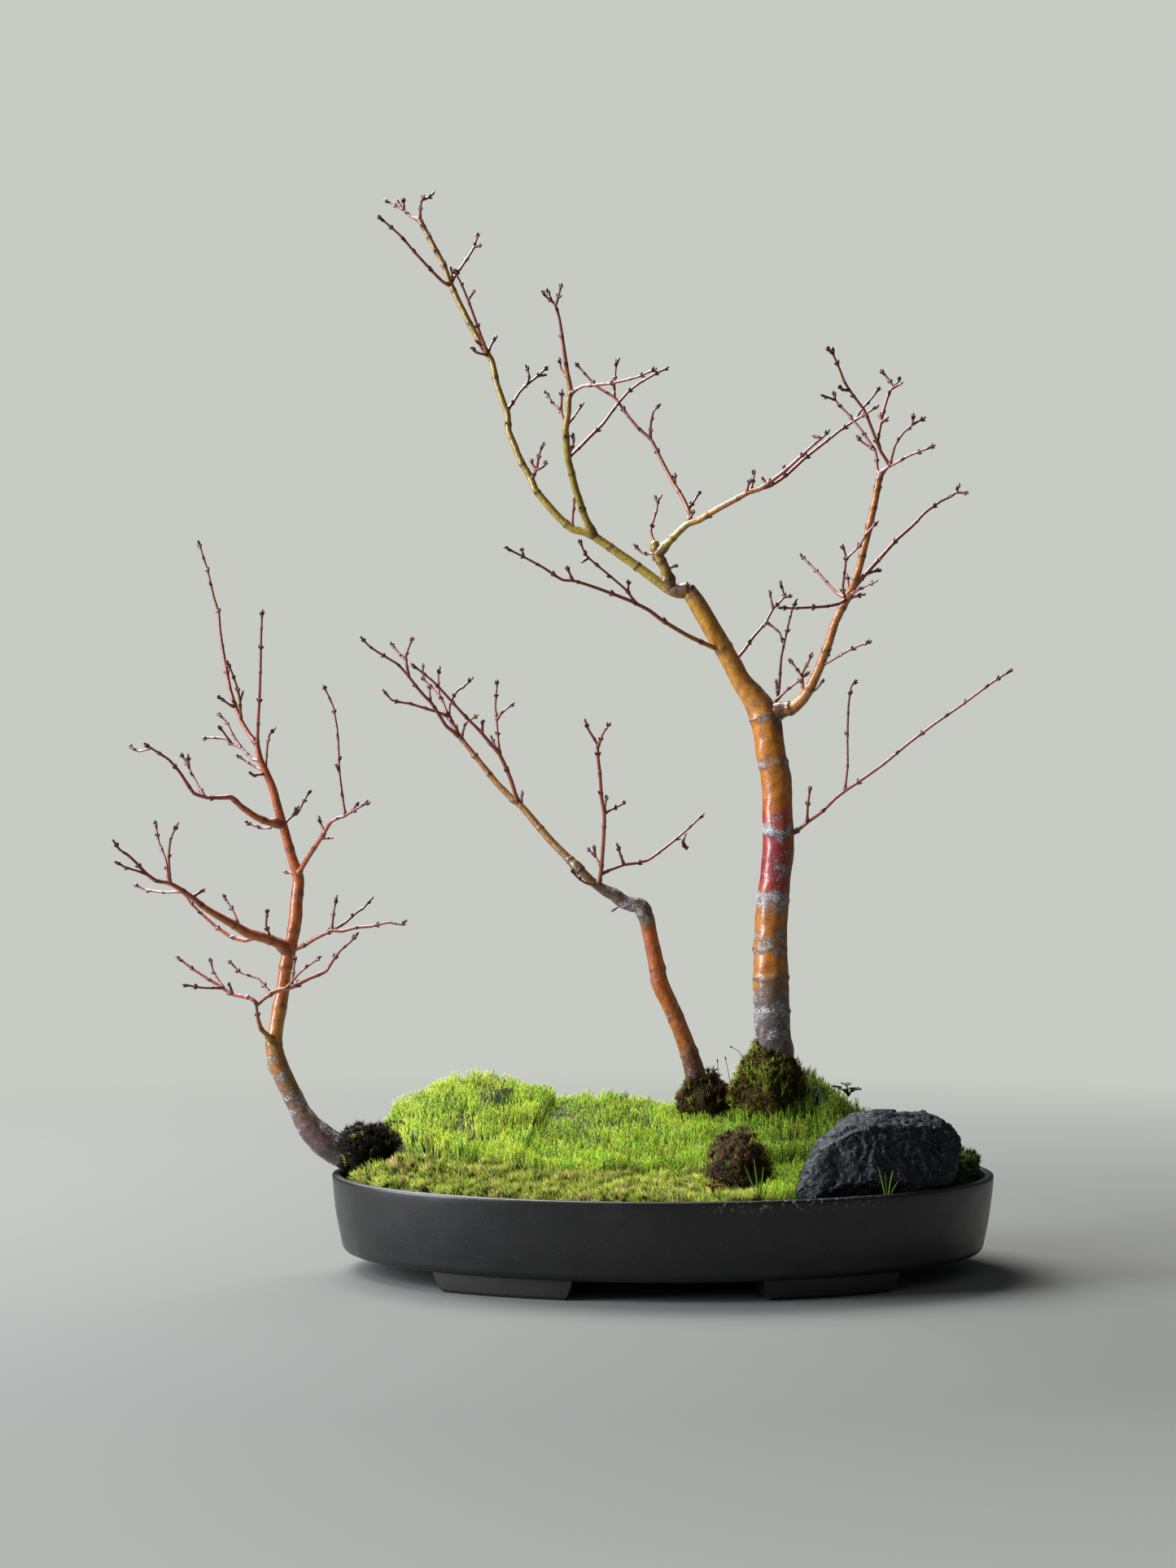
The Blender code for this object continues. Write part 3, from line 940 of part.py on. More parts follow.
def make_grass(name, foot, tips):
    paths = [blade(foot, foot + Vector(tip) * MM, 0.002, BLADE_WIDTH) for tip in tips]
    tuft = tubes(name, paths[:1], 0)
    rest = [tubes("blade", [path], 0) for path in paths[1:]]
    bm = bmesh.new()
    bmesh.ops.create_icosphere(bm, subdivisions=1, radius=BLADE_WIDTH * 1.1)
    bmesh.ops.translate(bm, vec=foot, verts=bm.verts)
    rest.append(object_from("crown", bm, cutters))
    combine(tuft, rest, "UNION", among_themselves=True)
    discard(rest)
    return tuft


def make_leafy(name, foot, leaves):
    """Round leaves on thin stems from one foot. A leaf is (offset in millimetres, radius, tilt)."""
    pieces = []
    for offset, radius, tilt in leaves:
        end = foot + Vector(offset) * MM
        knee = foot.lerp(end, 0.6) + Vector((0, 0, 0.0012))
        pieces.append(tubes("stem", [[(point, STEM_RADIUS) for point in (foot, knee, end)]], 0))
        bm = bmesh.new()
        bmesh.ops.create_uvsphere(bm, u_segments=8, v_segments=3, radius=radius)
        bmesh.ops.scale(bm, vec=(1.0, 0.86, 0.22), verts=bm.verts)
        turn = Vector((offset[0], offset[1], 0.001)).to_track_quat("X", "Z").to_matrix()
        bmesh.ops.rotate(bm, matrix=turn, verts=bm.verts)
        lean = Vector((math.sin(tilt) * offset[1], -math.sin(tilt) * offset[0], 10)).normalized()
        bmesh.ops.rotate(bm, matrix=lean.to_track_quat("Z", "Y").to_matrix(), verts=bm.verts)
        bmesh.ops.translate(bm, vec=end, verts=bm.verts)
        pieces.append(object_from("leaf", bm, cutters))
    bm = bmesh.new()
    bmesh.ops.create_icosphere(bm, subdivisions=1, radius=0.0012)
    bmesh.ops.translate(bm, vec=foot, verts=bm.verts)
    plant = object_from(name, bm, cutters)
    combine(plant, pieces, "UNION", among_themselves=True)
    discard(pieces)
    return plant


# Assembly

clear_scene()
parts = new_collection("bonsai_tree_in_a_pot")
cutters = new_collection("cutters")
cutters.hide_render = True
root = bpy.data.objects.new("bonsai_tree_in_a_pot", None)
parts.objects.link(root)

clay = material("dark_clay", (0.020, 0.018, 0.019), 0.55)
net = material("screen_plastic", (0.03, 0.03, 0.03), 0.6)
wire = material("clip_wire", (0.55, 0.55, 0.56), 0.4, 1.0)
earth = material("soil", (0.030, 0.020, 0.013), 0.95)
peat = material("root_ball", (0.050, 0.036, 0.018), 0.95)
old_moss = material("old_moss", (0.16, 0.11, 0.04), 0.95)
tall_moss = material("tall_moss", (0.22, 0.42, 0.03), 0.85)
low_moss = material("low_moss", (0.36, 0.44, 0.06), 0.85)
dark_moss = material("dark_moss", (0.06, 0.11, 0.02), 0.9)
rock = material("stone", (0.022, 0.025, 0.030), 0.65)
bark_right = material("bark_ochre", (0.42, 0.16, 0.05), 0.55)
bark_middle = material("bark_orange", (0.45, 0.13, 0.04), 0.55)
bark_left = material("bark_salmon", (0.40, 0.13, 0.06), 0.55)
leaf_green = material("round_leaf", (0.10, 0.13, 0.04), 0.6)
leaf_red = material("seedling_red", (0.22, 0.03, 0.03), 0.5)
grass_green = material("grass", (0.25, 0.45, 0.10), 0.6)
leaf_dead = material("dead_leaf", (0.10, 0.045, 0.025), 0.85)

made = {}

made["pot"] = (make_pot(), clay)
for side, word in ((-1, "left"), (1, "right")):
    made["drain_screen_" + word] = (make_screen("drain_screen_" + word, side), net)
    made["screen_clip_" + word] = (make_clip("screen_clip_" + word, side), wire)

right_stand = Vector((0.064, 0.040, 0.097 + rim_shift))
middle_stand = Vector((0.024, 0.045, 0.086 + rim_shift))
left_stand = Vector((-0.164 - end_shift, 0.005, 0.064 + rim_shift))

tree_right, right_paths = make_tree(
    "maple_right", RIGHT_TREE, RIGHT_FOOT, RIGHT_PLANE, right_stand, RIGHT_TREE_HEIGHT, RIGHT_TRUNK
)
tree_middle, middle_paths = make_tree(
    "maple_middle", MIDDLE_TREE, MIDDLE_FOOT, MIDDLE_PLANE, middle_stand, MIDDLE_TREE_HEIGHT, MIDDLE_TRUNK
)
tree_left, left_paths = make_tree(
    "maple_left", LEFT_TREE, LEFT_FOOT, LEFT_PLANE, left_stand, LEFT_TREE_HEIGHT, LEFT_TRUNK
)
made["maple_right"] = (tree_right, bark_right)
made["maple_middle"] = (tree_middle, bark_middle)
made["maple_left"] = (tree_left, bark_left)

# Name: (centre, radii, pear, turn). Centres are measured from the point where each tree stands.
BALLS = {
    "root_ball_right": (
        right_stand + Vector((-0.0040, -0.001, -0.006)), (0.0215, 0.0225, 0.0285), -0.14, 0.4,
    ),
    "root_ball_middle": (middle_stand + Vector((0, 0, 0)), (0.0140, 0.0145, 0.0160), -0.06, 1.3),
    "root_ball_left": (left_stand + Vector((0.0035, 0, -0.0055)), (0.0158, 0.0185, 0.0185), 0.20, 2.1),
    "brown_mound": (
        Vector((0.038, -0.054 - front_shift, 0.053 + rim_shift)), (0.0165, 0.036, 0.0275), -0.20, 3.0,
    ),
}

inflated = [as_cutter(lump("clearance", *shape, grow=2 * GAP)) for shape in BALLS.values()]
stone_clearance = as_cutter(make_stone("clearance", grow=2 * GAP))
pot_clearance = as_cutter(pot_shell("clearance", grow=1.5 * GAP))
sockets = {
    "root_ball_right": trunk_cutter(right_paths[0], 5),
    "root_ball_middle": trunk_cutter(middle_paths[0], 4),
    "root_ball_left": trunk_cutter(left_paths[0], 6),
}

stone = make_stone("stone")
cut(stone, [pot_clearance])
made["stone"] = (stone, rock)

for number, (name, shape) in enumerate(BALLS.items()):
    ball = lump(name, *shape)
    takers = [pot_clearance, stone_clearance] + [c for i, c in enumerate(inflated) if i < number]
    if name in sockets:
        takers.append(sockets[name])
    cut(ball, takers)
    made[name] = (ball, old_moss if name == "brown_mound" else peat)

soil = soil_solid("soil_bed")
pockets = []
pocket_size = (SCREEN_SIDE + 0.002, SCREEN_SIDE + 0.002, 2 * SCREEN_HEADROOM)
for side in (-1, 1):
    pockets.append(as_cutter(box("pocket", (side * DRAIN_SPACING / 2, 0, pot_floor), pocket_size)))
cut(soil, pockets + inflated + [stone_clearance])
made["soil_bed"] = (soil, earth)

# Name: (front edge, back edge, stations, thickness, look). Edges are in shares of the inner oval.
MATS = {
    "moss_left_hill": (
        (rim(162), (-0.83, 0.19), (-0.79, -0.05), (-0.65, -0.27), (-0.445, -0.39)),
        (rim(150), rim(139), rim(128), rim(118), rim(108)),
        9, 1.0, tall_moss,
    ),
    "moss_centre": (
        ((-0.42, -0.405), (-0.20, -0.455), (0.02, -0.435), (0.10, -0.39)),
        (rim(106), rim(96), rim(86), rim(78)),
        7, 1.0, tall_moss,
    ),
    "moss_right_hill": (
        ((0.13, -0.36), (0.30, -0.28), (0.50, -0.20), (0.70, -0.12), (0.82, 0.02)),
        (rim(75), rim(60), rim(45), rim(32), rim(22)),
        9, 1.0, tall_moss,
    ),
    "moss_front": (
        (rim(192), rim(215), rim(235), rim(255), rim(270), rim(284)),
        ((-0.86, -0.20), (-0.66, -0.335), (-0.45, -0.435), (-0.20, -0.485), (0.02, -0.465), (0.24, -0.62)),
        11, 0.75, low_moss,
    ),
    "moss_front_right": (
        ((0.29, -0.85), (0.32, -0.865), (0.35, -0.86)),
        ((0.33, -0.36), (0.40, -0.35), (0.48, -0.34)),
        5, 1.0, tall_moss,
    ),
    "moss_right_end": (
        ((0.83, -0.40), (0.87, -0.20), (0.87, 0.00), (0.88, 0.12)),
        (rim(331), rim(343), rim(356), rim(8)),
        7, 1.0, dark_moss,
    ),
}

soil_clearance = as_cutter(soil_solid("clearance", raised=GAP))
takers = inflated + [stone_clearance, soil_clearance, pot_clearance]
for name, (front, back, count, thickness, look) in MATS.items():
    mat = make_mat(name, front, back, count, thickness)
    cut(mat, takers)
    made[name] = (mat, look)


def on_moss(across, back, above):
    """A point above the moss, its place given in shares of the inner oval."""
    x, y = across * inner_length, back * inner_width
    return Vector((x, y, moss_top(x, y) + above))


def on_soil(across, back, above):
    """A point above the soil, its place given in shares of the inner oval."""
    x, y = across * inner_length, back * inner_width
    return Vector((x, y, soil_top(x, y) + above))


ROUND_LEAVES = (
    ((4, -2, 5), LEAF_RADIUS, 0.5),
    ((8, 1, 4), LEAF_RADIUS, -0.3),
    ((3, 4, 8), LEAF_RADIUS * 0.8, 0.2),
    ((-3, -3, 7), LEAF_RADIUS * 0.8, -0.5),
    ((7, -5, 1), LEAF_RADIUS, 0.3),
)
SEEDLING_LEAVES = (
    ((0.5, 0, 5.5), LEAF_RADIUS * 0.83, 0.3),
    ((2.6, -1, 3.2), LEAF_RADIUS * 0.72, -0.4),
    ((-2.2, -1, 3.6), LEAF_RADIUS * 0.72, 0.5),
)
STONE_GRASS_TIPS = ((-5, -1, 22), (-1, 0, 18), (3, -1, 20), (6, 0, 14))
MOUND_GRASS_TIPS = ((-8, -2, 24), (-3, 1, 27), (2, 0, 23), (7, -2, 20), (0, -4, 16))
LEAFY_SINK = 0.0020
GRASS_SINK = 0.0018
STONE_GRASS_FOLLOWS = 0.65  # share of a longer tray's extra half length that the tuft moves by
STONE_GRASS_X = 0.1135 + STONE_GRASS_FOLLOWS * end_shift
STONE_GRASS_OFF_WALL = 0.0030

round_leaves = make_leafy("round_leaf_plant", on_moss(0.583, 0.359, LEAFY_SINK), ROUND_LEAVES)
made["round_leaf_plant"] = (round_leaves, leaf_green)
seedling = make_leafy("red_seedling", on_moss(0.131, -0.845, LEAFY_SINK), SEEDLING_LEAVES)
made["red_seedling"] = (seedling, leaf_red)

stone_grass_share = STONE_GRASS_X / inner_length
stone_grass_back = -math.sqrt(1 - stone_grass_share**2) + STONE_GRASS_OFF_WALL / inner_width
stone_grass_foot = on_soil(stone_grass_share, stone_grass_back, GRASS_SINK)
stone_grass = make_grass("grass_by_stone", stone_grass_foot, STONE_GRASS_TIPS)
made["grass_by_stone"] = (stone_grass, grass_green)
mound_grass = make_grass("grass_by_mound", on_soil(0.268, -0.863, GRASS_SINK), MOUND_GRASS_TIPS)
made["grass_by_mound"] = (mound_grass, grass_green)

# The dead leaf hangs by its curled stalk from a knot on the middle tree's right branch.
BARE_KNOT = (24.3, 247.1)
branch = next(i for i, (_, points) in enumerate(MIDDLE_TREE) if points[-1] == BARE_KNOT)
knot, knot_radius = middle_paths[branch][6]
hang = knot - Vector((0, 0, knot_radius + 0.0004 + 2 * GAP))
curl = (((0, 0, 0), 0.35), ((-0.9, 0, -2.6), 0.4), ((-2.0, 0.5, -4.6), 1.0), ((-1.4, 0.8, -7.0), 1.5),
        ((0.2, 0.4, -8.6), 1.2), ((1.0, -0.4, -7.6), 0.5))
dead_leaf = tubes("dried_leaf", [[(hang + Vector(step) * MM, radius * MM) for step, radius in curl]], 1)
made["dried_leaf"] = (dead_leaf, leaf_dead)

for name, (obj, look) in made.items():
    obj.name = name
    cutters.objects.unlink(obj)
    parts.objects.link(obj)
    as_part(obj, look)
made["stone"][0].data.set_sharp_from_angle(angle=math.radians(25))

bpy.context.view_layer.update()
corners = [Vector(corner) for obj, _ in made.values() for corner in obj.bound_box]
low = [min(c[i] for c in corners) for i in range(3)]
high = [max(c[i] for c in corners) for i in range(3)]
root.location = (-(low[0] + high[0]) / 2, -(low[1] + high[1]) / 2, -low[2])
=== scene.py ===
"""Three young bare maples, moss and a dark stone in a low oval pot: the fine surfaces and the studio."""

import math

import bmesh
import bpy
import numpy as np
from mathutils import Matrix, Vector, kdtree, noise


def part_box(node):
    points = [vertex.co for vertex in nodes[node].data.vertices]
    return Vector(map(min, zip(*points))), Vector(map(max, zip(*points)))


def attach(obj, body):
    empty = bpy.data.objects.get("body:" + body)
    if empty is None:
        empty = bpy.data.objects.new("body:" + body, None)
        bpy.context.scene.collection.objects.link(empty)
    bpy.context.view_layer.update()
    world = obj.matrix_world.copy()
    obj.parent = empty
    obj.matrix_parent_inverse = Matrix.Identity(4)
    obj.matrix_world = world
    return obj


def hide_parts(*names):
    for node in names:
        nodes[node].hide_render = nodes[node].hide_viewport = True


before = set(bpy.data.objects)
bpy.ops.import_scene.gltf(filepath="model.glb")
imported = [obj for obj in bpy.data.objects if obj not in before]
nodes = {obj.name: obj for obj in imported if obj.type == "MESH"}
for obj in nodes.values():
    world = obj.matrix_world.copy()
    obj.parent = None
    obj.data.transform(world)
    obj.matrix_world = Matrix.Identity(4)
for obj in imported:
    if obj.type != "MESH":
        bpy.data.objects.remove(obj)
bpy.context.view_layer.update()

MM = 0.001
POT_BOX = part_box("pot")
ORIGIN = (POT_BOX[0] + POT_BOX[1]) / 2
ORIGIN.z = 0.0

# The pot, in metres, as the model has it
HALF_LENGTH = (POT_BOX[1].x - POT_BOX[0].x) / 2
HALF_WIDTH = (POT_BOX[1].y - POT_BOX[0].y) / 2
POT_HEIGHT = POT_BOX[1].z
FOOT_HEIGHT = 0.010
WALL = 0.0048
WALL_TAPER = 0.0053
POT_FLOOR = 0.016
CORNER_RADIUS = 0.005
FOOT_START = 0.050
FOOT_END = 0.127
FOOT_DEPTH = 0.018
FOOT_SETBACK = 0.0037
FOOT_DRAFT = 0.0035
DRAIN_RADIUS = 0.011
DRAIN_SPACING = 0.150
OVAL_SIDES = 224

# The trees: heights, trunk widths and where each stands, measured from the pot's centre
RIGHT_TREE_HEIGHT = 0.4964
RIGHT_TRUNK = 0.0225
RIGHT_STAND = Vector((0.064, 0.040, 0.097))
RIGHT_FOOT = (64.0, 97.0)  # the same place in the lists of limbs, (across, up) in mm
RIGHT_PLANE = 40.0  # the depth that a list is drawn at, in mm
MIDDLE_TREE_HEIGHT = 0.2595
MIDDLE_TRUNK = 0.0127
MIDDLE_STAND = Vector((0.024, 0.045, 0.086))
MIDDLE_FOOT = (24.0, 86.0)
MIDDLE_PLANE = 45.0
LEFT_TREE_HEIGHT = 0.3322
LEFT_TRUNK = 0.0173
LEFT_STAND = Vector((-0.164, 0.005, 0.064))
LEFT_FOOT = (-164.0, 64.0)
LEFT_PLANE = 5.0
TWIG_TIP = 0.0011
VIEWING_POINT = Vector((-0.0406, -1.728, 0.263))

# Trees. Each limb is (lean, points): lean is how far its end comes forward (-) or goes back (+),
# or None for a twig, and a point is (across, up) or (across, up, diameter). A limb grows from
# the nearest point of those before it. Maple buds in pairs, so twigs lean to and fro in turn.

RIGHT_TREE = (
    (0, ((57, 90, 24), (61, 103, 22.5), (63.6, 113, 21.5), (62.5, 120, 20.5), (62, 130, 19.8),
         (61.4, 148, 20.2), (61.3, 160, 19), (61.3, 180, 18), (61.9, 191, 18.3), (63.8, 210, 17),
         (65.4, 228, 17.6), (65.3, 240, 17.4), (65.1, 252, 16.3), (64.3, 266, 16.8), (61.3, 280, 16.3),
         (60, 290, 16.5), (57.5, 302, 17.2), (52, 311, 14), (45.2, 320, 11), (39.8, 330, 10.5),
         (32, 343.6, 10.3), (25.9, 354, 10), (19.8, 364.5, 9.8), (15, 372, 8))),
    # leader
    (35, ((15, 371, 6.5), (11, 370.6, 5.8), (4.1, 372, 5.4), (-2.9, 376.8, 5.2), (-12.4, 383.8),
          (-21.1, 389.9, 4.8), (-29.8, 396), (-36.9, 400.8, 4.7), (-42.1, 403.4), (-49.1, 405.2),
          (-56.9, 411.7, 4.2), (-63.8, 419.6), (-70, 427.3), (-72.7, 433.9), (-78, 443, 3.6),
          (-81.7, 452.1), (-84.8, 459.6), (-85.5, 469.4), (-87.8, 475.5), (-91.6, 486.8, 3.4),
          (-94.3, 498.9), (-100, 508), (-106, 518.6, 3.4), (-113.2, 533), (-116.6, 540.5),
          (-121.5, 553.4), (-126.4, 562.4), (-134.4, 577.5, 2.7))),
    (12, ((-134.4, 577.5, 1.7), (-138.5, 579), (-143.8, 583.2), (-154.4, 588.8))),
    (None, ((-143.8, 583.2), (-147.2, 588.8))),
    (None, ((-142.4, 584), (-143.4, 590))),
    (-8, ((-133.8, 578.3), (-133.2, 588.8), (-132, 591.5))),
    (None, ((-132.6, 588.5), (-128.7, 590.4), (-126.3, 593.4))),
    (-22, ((-116.6, 541, 1.9), (-120.4, 542.3), (-130.2, 551.8), (-138.5, 560.9), (-144.2, 567.7),
           (-158.2, 580.1))),
    (18, ((-117.3, 542.3, 1.8), (-111.3, 551.1), (-104.1, 562.4), (-101.8, 570.3))),
    (None, ((-104.1, 562.4), (-99.9, 563.5))),
    (None, ((-116.6, 544.3), (-117.1, 551.4))),
    (-20, ((-95.4, 502.7, 1.9), (-100.7, 514), (-106.7, 530.7), (-111.3, 542), (-115.8, 550.4))),
    (None, ((-106, 533.5), (-103.6, 538.6))),
    (None, ((-95, 503.5), (-94.8, 507.3), (-91.6, 513))),
    (-14, ((-97.7, 501.2), (-102.2, 503.5), (-105.8, 506.7))),
    (None, ((-100.3, 505), (-103.7, 510.7))),
    (16, ((-84.8, 471.3, 1.8), (-82.5, 475.5), (-78.7, 481.5), (-75, 485.7), (-73.4, 489.9),
          (-75.3, 496.7))),
    (8, ((-75, 485.7), (-69.7, 489.5), (-62.9, 495.9))),
    (None, ((-68.2, 490.5), (-63.6, 491))),
    (-14, ((-71.2, 433.1, 1.8), (-69.3, 438.4), (-67.8, 446.7), (-65.2, 453.9))),
    (None, ((-69.3, 438.4), (-65.9, 439.9), (-63.6, 443.3))),
    (None, ((-69.5, 438), (-71.6, 441.1), (-72.3, 444.5))),
    (None, ((-48.7, 406.5), (-48.7, 416), (-47.8, 424))),
    # upright limb on the leader
    (-40, ((-36.9, 402.1, 4), (-40.3, 407.3), (-42.9, 413.4, 3.9), (-46, 423), (-47.3, 426.5),
           (-49.9, 437), (-51.6, 443.7), (-52.7, 455.1, 3.8), (-53.1, 460.3), (-51.6, 470.2),
           (-51.2, 477.7, 3), (-50.4, 481.5), (-52.3, 492.9), (-54.6, 509.5, 1.9), (-56.9, 523.8),
           (-59.1, 530.6), (-63.6, 534.4), (-66.7, 538.2))),
    (None, ((-60.6, 532.5), (-63.6, 539.3))),
    (None, ((-58.5, 530), (-57.2, 534.4), (-55.5, 542.2))),
    (None, ((-51.6, 489.5), (-55.3, 493.7), (-57.1, 500.8))),
    (14, ((-53, 462), (-56.5, 472), (-59.1, 474), (-64.8, 482.3))),
    (None, ((-56.3, 471.5), (-55.7, 473.3), (-55, 483.2))),
    (None, ((-53, 462), (-47.8, 468.7), (-42.9, 475.9))),
    (None, ((-51.6, 444.5), (-48.6, 454.3), (-49.3, 458.9))),
    (-24, ((-50.4, 480.8, 1.9), (-43.2, 484.9), (-36.4, 485.3), (-28.1, 486.4), (-20.5, 487.9),
           (-12.2, 490.2), (-2.4, 494.8))),
    (30, ((-51.6, 444.5, 2), (-44, 452), (-40.2, 455.9), (-31.9, 464.2), (-28.1, 469.4), (-23.6, 475.5),
          (-18.3, 481.5), (-11.5, 486.8), (-6.9, 489.5), (4.4, 495.5))),
    # cut stump and the limb that runs right from it
    (-6, ((5.8, 372.5, 5.4), (2.4, 382.9, 5.7), (-1.1, 389.9), (-2.9, 394.2), (-3.7, 397.7, 5))),
    (None, ((-2.5, 391.2), (-9.9, 391.6), (-15.5, 396.9))),
    (14, ((-4, 396.5), (-5.5, 403.8), (-2, 420.4), (-3.7, 423.9))),
    (None, ((-2, 420.4), (0.6, 424.3))),
    (None, ((1.5, 381), (-5, 390))),
    (None, ((2.4, 382.9), (9.5, 385))),
    (-45, ((-1.5, 391.5, 4.4), (7.6, 401.2), (15.4, 408.2, 3.6), (20.7, 409.9), (31.1, 416, 3.3),
           (41.6, 421.6), (49.8, 426), (54.7, 427.3), (61.2, 431.7, 2.2), (68.5, 437), (77.4, 445.1),
           (86.4, 453.3), (89.7, 455.8), (94.1, 460.6))),
    (None, ((89.7, 455.8), (84.4, 457.4))),
    (26, ((50, 426, 2), (61.2, 429.3), (69.3, 434.6), (79.9, 444.3), (91.3, 453.3), (99.5, 459.8),
          (107.6, 465.5), (112.5, 472.4), (118.5, 479.2), (122, 484.5))),
    (None, ((107.6, 465.5), (115.5, 470.2), (121.5, 474.3))),
    (None, ((50, 426), (51.8, 434), (51.9, 438.3))),
    (None, ((47.5, 424.8), (49.8, 433))),
    (None, ((58.7, 430), (56.3, 434.2))),
    (None, ((68.5, 435.4), (68.9, 441))),
    (38, ((15.5, 409, 2.3), (16, 413.4), (12, 423), (7.6, 429.9), (0.3, 443.6), (-5.6, 455.1),
          (-13, 461.8), (-17.5, 467.1), (-25.9, 478.5, 1.6), (-35.6, 484.5), (-44.7, 494.4),
          (-48.1, 498.2))),
    (10, ((-25.9, 478.8), (-25.9, 486), (-25.1, 495.9), (-25.1, 499.7))),
    (None, ((-25.1, 495.9), (-23.2, 500.8))),
    (None, ((-6, 455.4), (-5.4, 464.9), (-3.9, 471), (-0.2, 475.1))),
    (None, ((15.2, 416), (18.9, 421.3), (22, 426.5))),
    (None, ((16, 410), (18.5, 416))),
    (None, ((7.6, 429.9), (7.8, 436.5))),
    # low left branch
    (-52, ((33, 334, 2.8), (14.5, 346, 2.4), (-0.3, 355), (-6.4, 359.7), (-16.8, 365), (-29, 369.8),
           (-49.1, 376.3), (-54.3, 376.7), (-65.6, 383.7), (-76.1, 389.4), (-83, 392.9),
           (-87.4, 395.1))),
    (-16, ((-13.8, 363.8), (-18.5, 370.2), (-29.9, 380.3), (-42.1, 391.2), (-45.6, 399.5))),
    (None, ((-40, 389.3), (-44.3, 386.4))),
    (None, ((-18.5, 370.2), (-18, 377))),
    (None, ((-49.1, 376.3), (-52.6, 384.6))),
    (None, ((-76.5, 389.5), (-77.8, 395))),
    # right limb
    (-48, ((59, 300, 7.5), (67, 304, 7.2), (73.2, 305.4, 7), (79.3, 310.6, 6), (82.3, 315.2),
           (88.4, 328, 4.9), (93.6, 341.6), (97.4, 353.7), (101.9, 362.8), (106.5, 371.1),
           (110.3, 382.5, 3.9), (113.3, 394.6), (115.9, 405.2), (119.3, 420.3), (121.9, 433.9),
           (122.7, 436.9, 3.6))),
    (14, ((122.2, 434, 1.8), (120.8, 438.4), (119.3, 449), (112.5, 453.5), (108.6, 457.3))),
    (18, ((119.3, 449, 1.6), (116.3, 453.5), (111.7, 460.3), (107.9, 464.9), (103.4, 470.2), (97.4, 477),
          (96.2, 482.2))),
    (None, ((97.4, 477), (89, 480))),
    (-26, ((122.5, 435, 2), (126.9, 440.7), (122.7, 448.3), (118.5, 458.8), (113.2, 471.7),
           (108.7, 477.7), (102.6, 486.8), (99.6, 494.4), (96.2, 502), (92.4, 506.9))),
    (None, ((96.2, 502), (95.9, 506.5))),
    (None, ((105.5, 482.5), (101.1, 483), (98.9, 485.3))),
    (16, ((121.5, 450), (121, 453.5, 1.8), (122.7, 464.1), (123.9, 470.2), (127.6, 481.5), (129.2, 484.6),
          (124.6, 491.4), (122, 494))),
    (None, ((129, 484), (132.2, 486.8), (133.3, 490.2))),
    (None, ((128.5, 483.5), (134.8, 486.8))),
    (None, ((122.9, 466), (122, 470.2))),
    (None, ((122.9, 464.5), (126.9, 467.5))),
    (-20, ((122.7, 436.5, 1.8), (126.9, 439.9), (131.4, 442.2), (138.2, 446), (148, 449.8),
           (152.9, 451.9))),
    (-10, ((127.5, 440.2), (129.2, 446.7), (130.7, 452), (135.2, 458.8), (140.1, 463.3),
           (140.8, 469.8))),
    (None, ((140.1, 463.3), (147.6, 467.5))),
    # far right branch
    (24, ((105.2, 368.9, 2.5), (111, 376.4, 2.3), (117.8, 384), (123.9, 390.8), (131.4, 399.1),
          (139.8, 406.5), (147.3, 414.3), (155.6, 420.3), (164.6, 425.6), (166.5, 430.5))),
    (None, ((164.6, 425.6), (171.4, 425.2))),
    (None, ((114.5, 380.4), (123, 382.5))),
    (30, ((104, 366.5, 1.8), (98.9, 368.9), (87.6, 381), (79.2, 389.3), (77.4, 391.5))),
    (-16, ((103.2, 365), (101.6, 371.1), (103.1, 390), (101.2, 396.8))),
    (None, ((103, 388.5), (109.6, 394.6), (115.6, 403.6), (121.2, 409.8))),
    (None, ((105, 369), (103.8, 380.2))),
    (-18, ((104.5, 367.4), (111, 371.9), (120.8, 376.4))),
    (None, ((104, 366), (114, 369))),
    (-26, ((104, 366.4, 1.8), (99.7, 363.6), (92.9, 362.1), (80.8, 361.3), (74, 361), (65, 361.3))),
    # twigs low on the right limb
    (None, ((80.5, 312), (79.2, 316.7), (78.1, 323.5), (71.3, 333))),
    (-12, ((79, 319), (79.2, 325), (82.3, 331), (84.5, 336.3))),
    (None, ((81, 312.5), (86.8, 316), (90.8, 321.6))),
    (-16, ((88.6, 328.5), (93.6, 331), (101.2, 335.6), (108.8, 339.4), (117.5, 342.8))),
    (None, ((90, 331), (94, 336))),
    # twigs on the trunk
    (18, ((40, 330, 1.9), (46.7, 337.9), (52, 345.5), (58, 352.3), (62.6, 360.6), (68.6, 367.4),
          (66.4, 376.4))),
    (None, ((68.2, 367), (73.2, 368.1))),
    (None, ((62.6, 360.6), (60.3, 371.1))),
    (None, ((58.8, 353.4), (66.4, 347), (67.9, 341.6))),
    (22, ((62, 301, 1.9), (65.7, 315.2), (67.2, 334.1), (69.8, 346.2), (73.6, 361.3), (75.9, 366.3))),
    (None, ((65.3, 313.5), (64, 321.5))),
    (-10, ((64.5, 309), (71, 316), (77.8, 321.3), (83, 325.8))),
    # long low branch
    (-34, ((67, 231, 2.4), (74.7, 236), (82.2, 242, 2), (90.3, 248), (97.3, 255), (103.1, 259.5),
           (110, 264.1), (124, 274), (138, 285.6), (152, 296.1), (168.8, 307.8), (184.5, 319.4),
           (196.1, 327))),
    (14, ((102.5, 259), (104, 272.3), (104, 287.4), (104.9, 309.5), (106.6, 318.2), (109.5, 321.1))),
    (None, ((81.6, 241.5), (81.9, 250.2), (83.4, 261.8))),
)

